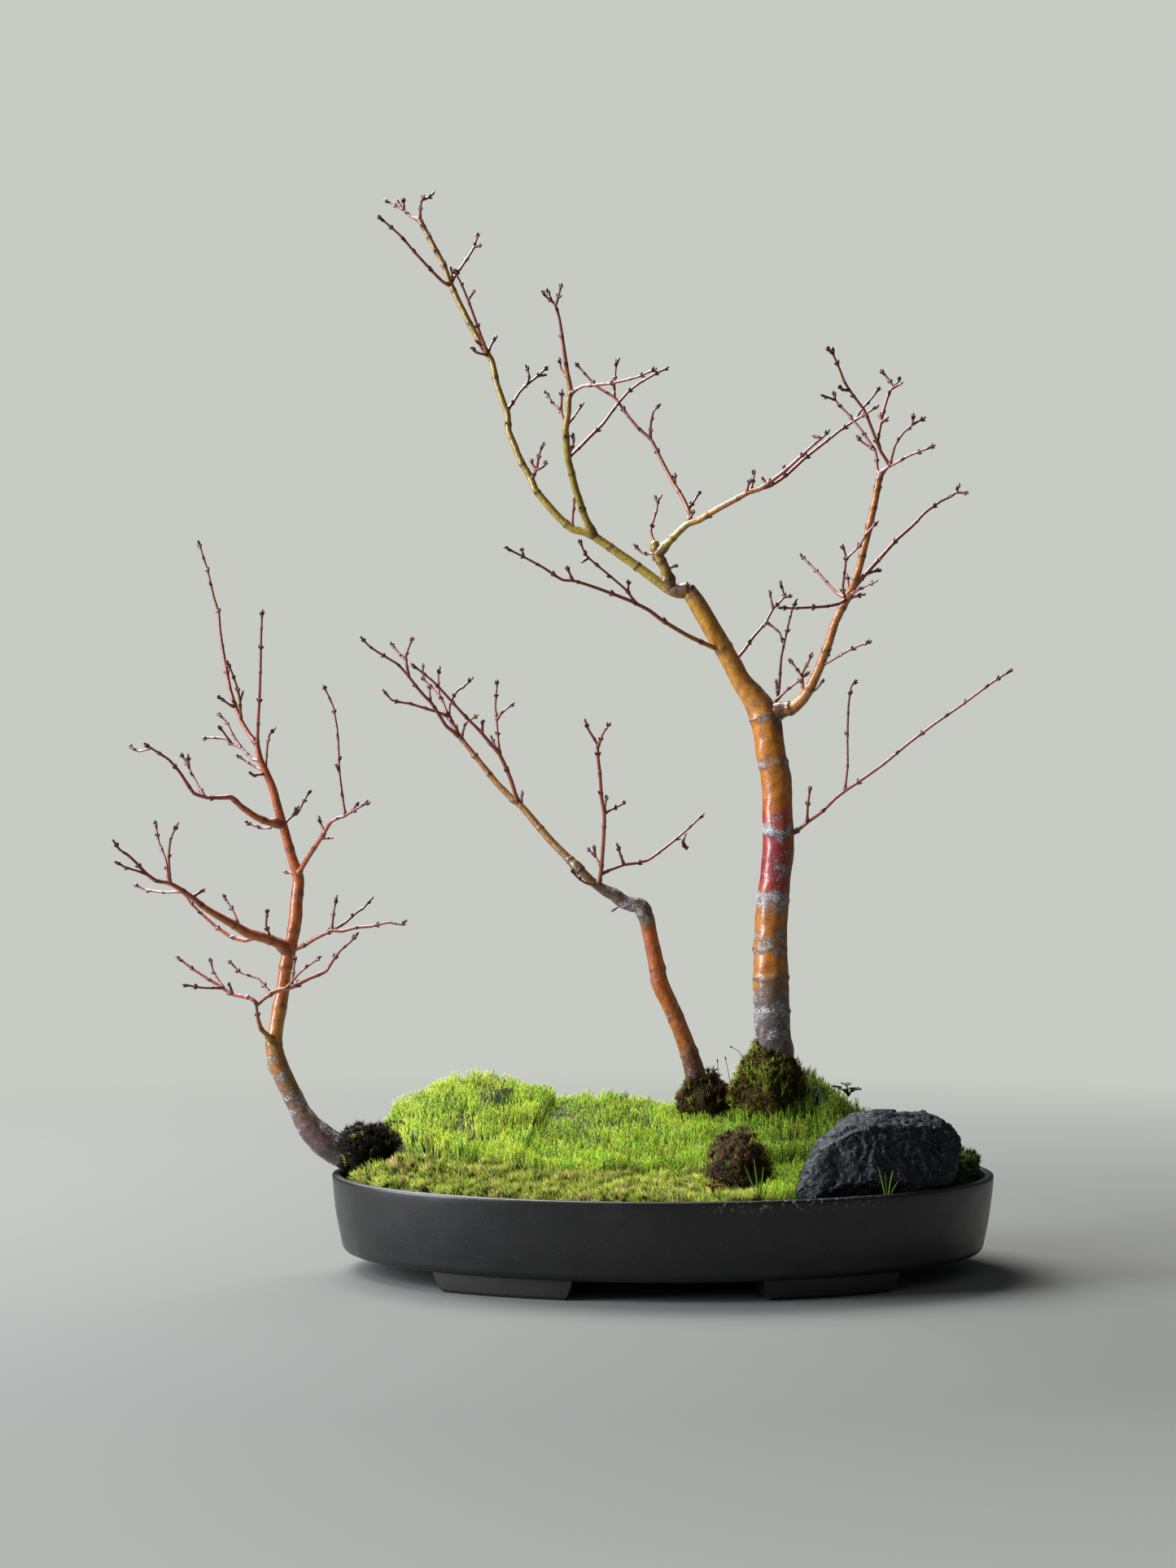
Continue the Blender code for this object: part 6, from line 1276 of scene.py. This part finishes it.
def make_stone():
    """The node's solid, remeshed finely and broken into tilted facets of three sizes."""
    source = nodes["stone"]
    rough = source.copy()
    rough.data = source.data.copy()
    bpy.context.scene.collection.objects.link(rough)
    remesh = rough.modifiers.new("remesh", "REMESH")
    remesh.mode = "VOXEL"
    remesh.voxel_size = 0.0009
    bpy.context.view_layer.update()
    mesh = bpy.data.meshes.new_from_object(rough.evaluated_get(bpy.context.evaluated_depsgraph_get()))
    bpy.data.objects.remove(rough)
    count = len(mesh.vertices)
    points = np.empty(count * 3)
    normals = np.empty(count * 3)
    mesh.vertices.foreach_get("co", points)
    mesh.vertices.foreach_get("normal", normals)
    points, normals = points.reshape(-1, 3), normals.reshape(-1, 3)
    push = np.zeros(count)
    noise.seed_set(STONE_SEED)
    for i, p in enumerate(points):
        spot = Vector(p)
        for size, amount in ((0.030, 0.0034), (0.012, 0.0022), (0.005, 0.0012)):
            cell = noise.voronoi(spot / size + 0.15 * noise.noise_vector(spot / size * 2))[1][0]
            heading = noise.cell_vector(cell * 7.31) - Vector((0.5, 0.5, 0.5))
            push[i] += amount * (spot / size - cell).dot(heading)
        push[i] += 0.0009 * noise.fractal(spot / 0.006, 0.7, 2.1, 5)
    push = np.clip(push, -0.0035, 0.0016) - 0.0008
    points += normals * push[:, None]
    mesh.vertices.foreach_set("co", points.astype(np.float32).ravel())
    mesh.update()
    mesh.shade_smooth()
    mesh.set_sharp_from_angle(angle=math.radians(38))
    stone = bpy.data.objects.new("stone_rough", mesh)
    bpy.context.scene.collection.objects.link(stone)
    return stone


def stone_material():
    made, tree, shader = new_material("stone", 0.5, Specular_IOR_Level=0.42)
    broad = speckle(tree, 55, 6, 0.6)
    base = mixed(tree, band(tree, broad, 0.35, 0.68), srgb(5, 6, 7), srgb(17, 19, 22))
    veins = band(tree, speckle(tree, 150, 7, 0.72, (1, 1, 0.6)), 0.57, 0.66)
    base = mixed(tree, times(tree, veins, 0.42), base, srgb(76, 84, 90))
    grain = band(tree, speckle(tree, 900, 3, 0.7), 0.52, 0.66)
    base = mixed(tree, times(tree, grain, 0.42), base, srgb(80, 90, 104))
    # Pale bluish-white flecks: partly pale mineral grains, partly painted glints of the stone's glitter.
    fleck = band(tree, cells(tree, 620), 0.22, 0.10)
    base = mixed(tree, times(tree, fleck, 0.55), base, srgb(176, 194, 214))
    tree.links.new(base, shader.inputs["Base Color"])
    tree.links.new(band(tree, grain, 0, 1, 0.58, 0.24), shader.inputs["Roughness"])
    bumped(tree, shader, speckle(tree, 620, 8, 0.7), 0.0006, 0.9)
    return made


show(make_stone(), "stone", stone_material(), "stone")


# Pot, drain screens, clips and soil


def oval(inset, z):
    """The rim's oval drawn in by inset, measured square to it."""
    turn = 2 * math.pi * np.arange(OVAL_SIDES) / OVAL_SIDES
    across = np.stack([np.cos(turn) / HALF_LENGTH, np.sin(turn) / HALF_WIDTH], axis=1)
    across = unit(across)
    rim = np.stack([HALF_LENGTH * np.cos(turn), HALF_WIDTH * np.sin(turn)], axis=1)
    flat = rim - across * inset
    return np.column_stack([flat, np.full(OVAL_SIDES, z)])


def loft(rings):
    """A closed solid through rings of the same count: points and faces, with flat ends."""
    sides = len(rings[0])
    i = np.arange(sides)
    j = (i + 1) % sides
    base = np.arange(len(rings) - 1)[:, None] * sides
    quads = np.stack([base + i, base + j, base + sides + j, base + sides + i], axis=-1).reshape(-1, 4)
    ends = [i[::-1][None], (i + (len(rings) - 1) * sides)[None]]
    return np.vstack(rings), [quads, *ends]


def wall_profile():
    """(inset, z) from the underside, up the wall, over the rounded rim and down to the floor."""
    quarter = [math.radians(a) for a in range(0, 91, 15)]
    foot_inset = WALL_TAPER + CORNER_RADIUS
    corner = [
        (foot_inset - CORNER_RADIUS * math.sin(a), FOOT_HEIGHT + CORNER_RADIUS * (1 - math.cos(a)))
        for a in quarter
    ]
    lip = 0.0018
    height = POT_HEIGHT - lip - corner[-1][1]
    wall = []
    for share in (0.12, 0.25, 0.40, 0.55, 0.70, 0.84, 0.93):
        belly = 0.0007 * math.sin(math.pi * share)
        wall.append((WALL_TAPER * (1 - share) ** 1.25 - belly * (1 - share), corner[-1][1] + height * share))
    over = [math.radians(a) for a in range(0, 181, 15)]
    half = WALL / 2
    rim = []
    for a in over:
        out = math.copysign(abs(math.cos(a)) ** 0.6, math.cos(a))
        rim.append((half - half * out, POT_HEIGHT - lip + lip * math.sin(a) ** 0.8))
    inner_foot = WALL_TAPER + WALL
    inside = [(WALL + 0.0002, POT_HEIGHT - 0.006)]
    inside += [
        (inner_foot + CORNER_RADIUS * (1 - math.cos(a)), POT_FLOOR + CORNER_RADIUS * (1 - math.sin(a)))
        for a in quarter
    ]
    return corner + wall + rim + inside


def foot_rings(side_x, side_y):
    """A bar under the pot that follows its oval, drawn in at its ends and rounded along its edges."""
    outer = WALL_TAPER + FOOT_SETBACK
    rings = []
    for share in np.linspace(0, 1, 40):
        ends = FOOT_DRAFT * (1 - 2 * share)
        soft = 0.0016 * (1 - smooth(share / 0.06)) - 0.0016 * smooth((share - 0.94) / 0.06)
        section = (
            (1.0, outer + 0.0026, 0.0), (1.0, outer + FOOT_DEPTH - 0.002, 0.0),
            (0.75, outer + FOOT_DEPTH - 0.0002, 0.0016), (0.3, outer + FOOT_DEPTH + 0.0006, 0.007),
            (0.0, outer + FOOT_DEPTH + 0.001, 0.012), (0.0, outer, 0.012), (0.3, outer + 0.0004, 0.007),
            (0.75, outer + 0.0010, 0.0016),
        )
        ring = []
        for draft, inset, z in section:
            along = FOOT_START + share * (FOOT_END - FOOT_START) + ends * draft + soft * draft
            turn = math.acos(along / HALF_LENGTH)
            square = Vector((math.cos(turn) / HALF_LENGTH, math.sin(turn) / HALF_WIDTH, 0)).normalized()
            point = Vector((HALF_LENGTH * math.cos(turn), HALF_WIDTH * math.sin(turn), z)) - square * inset
            ring.append((side_x * point.x, side_y * point.y, point.z))
        rings.append(np.array(ring[:: -1] if side_x * side_y > 0 else ring))
    return rings


def make_pot():
    """The shell with its drain holes cut, and its four feet."""
    points, faces = loft([oval(inset, z) for inset, z in wall_profile()])
    stir = waves(points, 0.035, 12) * 0.00018 + waves(points, 0.012, 13) * 0.00007
    out = points * np.array([1, 1, 0])
    out /= np.maximum(np.linalg.norm(out, axis=1, keepdims=True), 1e-9)
    points = points - out * np.abs(stir)[:, None]
    shell = mesh_object("pot_glazed", points, faces)
    cutters = []
    for side in (-1, 1):
        bm = bmesh.new()
        hole = {"radius1": DRAIN_RADIUS, "radius2": DRAIN_RADIUS, "depth": 0.02}
        bmesh.ops.create_cone(bm, cap_ends=True, segments=64, **hole)
        bmesh.ops.translate(bm, vec=(side * DRAIN_SPACING / 2, 0, 0.013), verts=bm.verts)
        mesh = bpy.data.meshes.new("drain")
        bm.to_mesh(mesh)
        bm.free()
        cutter = bpy.data.objects.new("drain", mesh)
        bpy.context.scene.collection.objects.link(cutter)
        cutters.append(cutter)
        modifier = shell.modifiers.new("drain", "BOOLEAN")
        modifier.operation = "DIFFERENCE"
        modifier.object = cutter
    bpy.context.view_layer.update()
    whole = bpy.data.meshes.new_from_object(shell.evaluated_get(bpy.context.evaluated_depsgraph_get()))
    shell.modifiers.clear()
    for cutter in cutters:
        bpy.data.objects.remove(cutter)
    bm = bmesh.new()
    bm.from_mesh(whole)
    for side_x in (-1, 1):
        for side_y in (-1, 1):
            foot_points, foot_faces = loft(foot_rings(side_x, side_y))
            verts = [bm.verts.new(p) for p in foot_points]
            for block in foot_faces:
                for face in block:
                    bm.faces.new([verts[i] for i in face])
    bmesh.ops.recalc_face_normals(bm, faces=bm.faces)
    bm.to_mesh(whole)
    bm.free()
    whole.shade_smooth()
    whole.set_sharp_from_angle(angle=math.radians(35))
    shell.data = whole
    shell.data.transform(Matrix.Translation(ORIGIN))
    return shell


def clay_material():
    sheen = {"Specular_IOR_Level": 0.32, "Coat_Weight": 0.6, "Coat_Roughness": 0.38}
    made, tree, shader = new_material("dark_clay", 0.42, **sheen)
    base = mixed(tree, band(tree, speckle(tree, 22, 5, 0.6), 0.35, 0.68), srgb(11, 10, 11), srgb(22, 19, 21))
    smudge = band(tree, speckle(tree, 12, 6, 0.62, (1, 1, 2.5)), 0.60, 0.72)
    base = mixed(tree, times(tree, smudge, 0.22), base, srgb(70, 68, 76))
    flecks = band(tree, cells(tree, 340), 0.13, 0.06)
    base = mixed(tree, times(tree, flecks, 0.4), base, srgb(104, 98, 96))
    along, _, up = node(tree, "ShaderNodeSeparateXYZ", {0: own_place(tree)}).outputs
    foot_share = band(tree, up, 0.0125, 0.0085)
    dry = mixed(tree, speckle(tree, 500, 4), srgb(16, 14, 14), srgb(52, 46, 44))
    base = mixed(tree, foot_share, base, dry)
    crusted = times(tree, band(tree, along, 0.060, 0.085), band(tree, along, 0.170, 0.140))
    dust = times(tree, band(tree, up, 0.0455, 0.050), band(tree, speckle(tree, 420, 6, 0.7), 0.56, 0.64))
    base = mixed(tree, times(tree, dust, crusted), base, srgb(176, 172, 166))
    tree.links.new(base, shader.inputs["Base Color"])
    rough = band(tree, speckle(tree, 60, 5, 0.6), 0.3, 0.7, 0.34, 0.52)
    rough = worked(tree, "ADD", rough, times(tree, foot_share, 0.4))
    tree.links.new(rough, shader.inputs["Roughness"])
    pits = times(tree, band(tree, cells(tree, 260), 0.10, 0.22), 0.35)
    fine = worked(tree, "ADD", times(tree, speckle(tree, 420, 6, 0.6), 0.5), pits)
    bumped(tree, shader, fine, 0.00035, 0.6)
    return made


show(make_pot(), "dark_clay", clay_material(), "pot")


def plain(name, colour, roughness, metallic=0.0):
    """One colour with a fine grain, for the nodes that keep their own shape."""
    made, tree, shader = new_material(name, roughness, Metallic=metallic)
    dark = tuple(c * 0.7 for c in colour)
    pale = tuple(min(1, c * 1.3) for c in colour)
    tree.links.new(mixed(tree, speckle(tree, 400, 4), dark, pale), shader.inputs["Base Color"])
    bumped(tree, shader, speckle(tree, 800, 4), 0.0002, 0.4)
    return made


def coloured(name, material):
    """Gives a node that keeps its own shape a material of its own."""
    nodes[name].data.materials.clear()
    nodes[name].data.materials.append(material)


soil = plain("soil", srgb(40, 30, 22), 0.95)
net = plain("screen_plastic", srgb(34, 34, 34), 0.6)
wire = plain("clip_wire", srgb(190, 190, 192), 0.35, 1.0)
coloured("soil_bed", soil)
for side in ("left", "right"):
    coloured("drain_screen_" + side, net)
    coloured("screen_clip_" + side, wire)


def make_crumbs():
    """Grit and crumbs of soil over the bed, seen wherever the moss leaves it bare."""
    draw = np.random.default_rng(61)
    place, _ = samples_on("soil_bed", 0.0030, 0.6, 60)
    bm = bmesh.new()
    bmesh.ops.create_icosphere(bm, subdivisions=1, radius=1.0)
    ball = np.array([v.co for v in bm.verts])
    faces = np.array([[v.index for v in f.verts] for f in bm.faces])
    bm.free()
    heap = Heap()
    for spot in place:
        size = draw.uniform(0.0006, 0.0018)
        shape = ball * (size * draw.uniform(0.6, 1.25, 3)) * (1 + 0.2 * draw.normal(size=(len(ball), 1)))
        pale = draw.random() < 0.08
        colour = np.array(srgb(110, 98, 80) if pale else srgb(32, 24, 16)) * draw.uniform(0.5, 1.3)
        heap.add(shape + spot - np.array([0, 0, size * 0.2]), [faces], colours=colour)
    return heap


finished(make_crumbs(), "soil_crumbs", "soil", foliage_material("soil_grain", 1.0))


# Small plants


def bounded(name):
    lo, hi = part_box(name)
    return np.array(lo - ORIGIN), np.array(hi - ORIGIN)


def stem(heap, points, radii, colour, sides=8):
    course, widths, _ = course_of([(Vector(p), r) for p, r in zip(points, radii)], 0.0006)
    shape, quads, caps = tube(course, np.repeat(widths[:, None], sides, axis=1), sides)
    heap.add(shape, [quads, caps], colours=np.array(colour))


def leaf(heap, place, heading, up, length, width, low, high):
    """A closed thin leaf: a grid of points over an outline, with a front and a back."""
    heading = heading / np.linalg.norm(heading)
    side = np.cross(heading, up)
    side /= np.linalg.norm(side)
    up = np.cross(side, heading)
    rows, columns, cup = 10, 7, 0.14
    t = np.linspace(0.02, 0.98, rows)
    half = width / 2 * np.sqrt(np.clip(1 - (2 * t - 1) ** 2, 0.02, 1))
    c = np.linspace(-1, 1, columns)
    grid = place + heading * (t * length)[:, None, None] + side * (half[:, None] * c[None])[:, :, None]
    raised = cup * width * c[None] ** 2 * np.ones((rows, 1)) - 0.12 * length * (t**2)[:, None]
    grid = grid + up * raised[:, :, None]
    thick = 0.00012
    front, back = grid + up * thick, grid - up * thick
    points = np.concatenate([front.reshape(-1, 3), back.reshape(-1, 3)])
    n = rows * columns
    quads = []
    for r in range(rows - 1):
        for k in range(columns - 1):
            a = r * columns + k
            quads.append((a, a + 1, a + columns + 1, a + columns))
            quads.append((n + a, n + a + columns, n + a + columns + 1, n + a + 1))
    spots = np.arange(n).reshape(rows, columns)
    edge = [*spots[0], *spots[1:, -1], *spots[-1, -2::-1], *spots[-2:0:-1, 0]]
    for a, b in zip(edge, edge[1:] + edge[:1]):
        quads.append((b, a, n + a, n + b))
    share = np.tile(np.repeat(t, columns), 2)[:, None]
    heap.add(points, [np.array(quads)], colours=np.array(low) * (1 - share) + np.array(high) * share)


leafage = foliage_material("round_leaf", 0.45)

# Moss capsules on hair-thin stalks between the middle and right root balls: (foot, knee, head)
CAPSULES = (
    ((32.4, 30, 92), (31.8, 30, 101), (31.1, 29, 109.4)),
    ((38.6, 30, 96), (37.0, 30, 104), (35.6, 29, 110.8)),
    ((46.0, 28, 110), (42.0, 28, 115.6), (38.8, 28, 117.2)),
)
heap = Heap()
for path in CAPSULES:
    points = [Vector(point) * MM for point in path]
    stem(heap, points, (0.00022, 0.00018, 0.00018), srgb(112, 52, 34), 6)
    aim = np.array((points[2] - points[1]).normalized())
    shape, quads, ends = pointed(np.array(points[2]) - aim * 0.0006, aim, 0.0022, 0.0009)
    heap.add(shape, [quads, ends], colours=np.array(srgb(110, 34, 28)))
finished(heap, "moss_capsules", "tall_moss", leafage, "moss_right_hill")


def make_leafy(name, offsets, size, low, high, stalk):
    """A few round leaves on stalks, each leaf at its (across, back, up) in mm from the foot."""
    lo, hi = bounded(name)
    foot = np.array([(lo[0] + hi[0]) / 2, (lo[1] + hi[1]) / 2, lo[2] + 0.0008])
    heap = Heap()
    for x, y, z in offsets:
        end = foot + np.array([x, y, z]) * MM
        knee = foot * 0.45 + end * 0.55 + np.array([0, 0, 0.001])
        stem(heap, [foot, knee, end], [0.00045, 0.0004, 0.00035], stalk)
        out = np.array([x, y, 0.0]) * MM + np.array([0.0004, -0.0008, 0.0])
        out /= np.linalg.norm(out)
        leaf(heap, end - out * size * 0.3, out + 0.25 * UP, UP - 0.3 * out, size, size * 0.92, low, high)
    return heap


ROUND_LEAVES = ((-2, -2, 3), (3, 1, 2.6), (-1, 3, 5.4), (-6, -2, 4.6), (2, -4, 4.0))
SEEDLING_LEAVES = ((0.4, 0, 5.0), (2.2, -1, 3.0), (-2.0, -1, 3.3))
greens = (srgb(84, 92, 50), srgb(112, 118, 66), srgb(96, 60, 44))
heap = make_leafy("round_leaf_plant", ROUND_LEAVES, 0.0064, *greens)
finished(heap, "round_leaves", "round_leaf", leafage, "round_leaf_plant")
reds = (srgb(120, 40, 34), srgb(150, 66, 44), srgb(140, 50, 44))
heap = make_leafy("red_seedling", SEEDLING_LEAVES, 0.0042, *reds)
finished(heap, "red_seedling_leaves", "seedling_red", leafage, "red_seedling")


def make_grass(name, tips):
    """Thin blades, each with its tip at (across, back, up) in mm from the foot."""
    lo, hi = bounded(name)
    reach = np.array(tips)
    foot = np.array([hi[0] - reach[:, 0].max() * MM, hi[1] - max(reach[:, 1].max(), 0.6) * MM, lo[2] + 0.001])
    heap = Heap()
    for k, tip in enumerate(tips):
        end = foot + np.array(tip) * MM * 0.97
        knee = foot * 0.45 + end * 0.55 + np.array([0, 0, 0.002])
        stem(heap, [foot, knee, end], [0.00042, 0.00040, 0.00012], srgb(112 + 8 * k, 150 + 4 * k, 52), 6)
    return heap


blades = foliage_material("grass", 0.5)
heap = make_grass("grass_by_stone", ((-5, -1, 22), (-1, 0, 18), (3, -1, 20), (6, 0, 14)))
finished(heap, "grass_blades_by_stone", "grass", blades, "grass_by_stone")
heap = make_grass("grass_by_mound", ((-8, -2, 24), (-3, 1, 27), (2, 0, 23), (7, -2, 20), (0, -4, 16)))
finished(heap, "grass_blades_by_mound", "grass", blades, "grass_by_mound")

coloured("dried_leaf", plain("dead_leaf", srgb(96, 62, 44), 0.85))


# Studio

floor_material, tree, shader = new_material("studio_floor", 0.9, Specular_IOR_Level=0.2)
shader.inputs["Base Color"].default_value = (*srgb(136, 136, 132), 1.0)
bpy.ops.mesh.primitive_circle_add(vertices=128, radius=2.6, fill_type="NGON", location=(0, 0, -0.0002))
floor = bpy.context.object
floor.name = "studio_floor"
floor.data.materials.append(floor_material)
away = node(tree, "ShaderNodeVectorMath", {0: own_place(tree)}, operation="LENGTH").outputs["Value"]
clear = node(tree, "ShaderNodeBsdfTransparent")
blend = node(tree, "ShaderNodeMixShader", {0: band(tree, away, 0.42, 1.15)})
tree.links.new(shader.outputs[0], blend.inputs[1])
tree.links.new(clear.outputs[0], blend.inputs[2])
tree.links.new(blend.outputs[0], tree.nodes["Material Output"].inputs[0])

world = bpy.data.worlds.new("studio")
world.use_nodes = True
bpy.context.scene.world = world
sky = world.node_tree
backdrop = sky.nodes["Background"]
backdrop.inputs[0].default_value = (*srgb(200, 202, 196), 1.0)
backdrop.inputs[1].default_value = 1.0
soft = node(sky, "ShaderNodeBackground", {"Color": (0.86, 0.93, 1.0, 1.0), "Strength": 0.075})
seen = node(sky, "ShaderNodeLightPath").outputs["Is Camera Ray"]
both = node(sky, "ShaderNodeMixShader", {0: seen})
sky.links.new(soft.outputs[0], both.inputs[1])
sky.links.new(backdrop.outputs[0], both.inputs[2])
sky.links.new(both.outputs[0], sky.nodes["World Output"].inputs[0])


MIDDLE = Vector((0.0, 0.0, 0.2))


def lamp(name, place, size, power, colour):
    """A soft rectangular lamp that faces the middle of the object."""
    light = bpy.data.lights.new(name, "AREA")
    light.shape = "RECTANGLE"
    light.size, light.size_y = size
    light.energy = power
    light.color = colour
    made = bpy.data.objects.new(name, light)
    made.location = place
    made.rotation_euler = (MIDDLE - made.location).to_track_quat("-Z", "Y").to_euler()
    bpy.context.scene.collection.objects.link(made)


lamp("window", (-1.8, -0.45, 0.80), (0.9, 1.5), 64, (0.87, 0.93, 1.0))
lamp("overhead", (-0.70, 0.8, 1.5), (1.5, 1.1), 56, (0.98, 0.99, 1.0))
lamp("front_fill", (-0.3, -2.2, 1.3), (1.8, 1.4), 2.6, (1.0, 0.97, 0.93))

camera = bpy.data.cameras.new("camera")
camera.lens = 72.8
camera.sensor_width = 36
eye = bpy.data.objects.new("camera", camera)
eye.location = ORIGIN + VIEWING_POINT
eye.rotation_euler = (math.radians(90), 0, 0)
bpy.context.scene.collection.objects.link(eye)
bpy.context.scene.camera = eye
bpy.context.scene.view_settings.view_transform = "Standard"
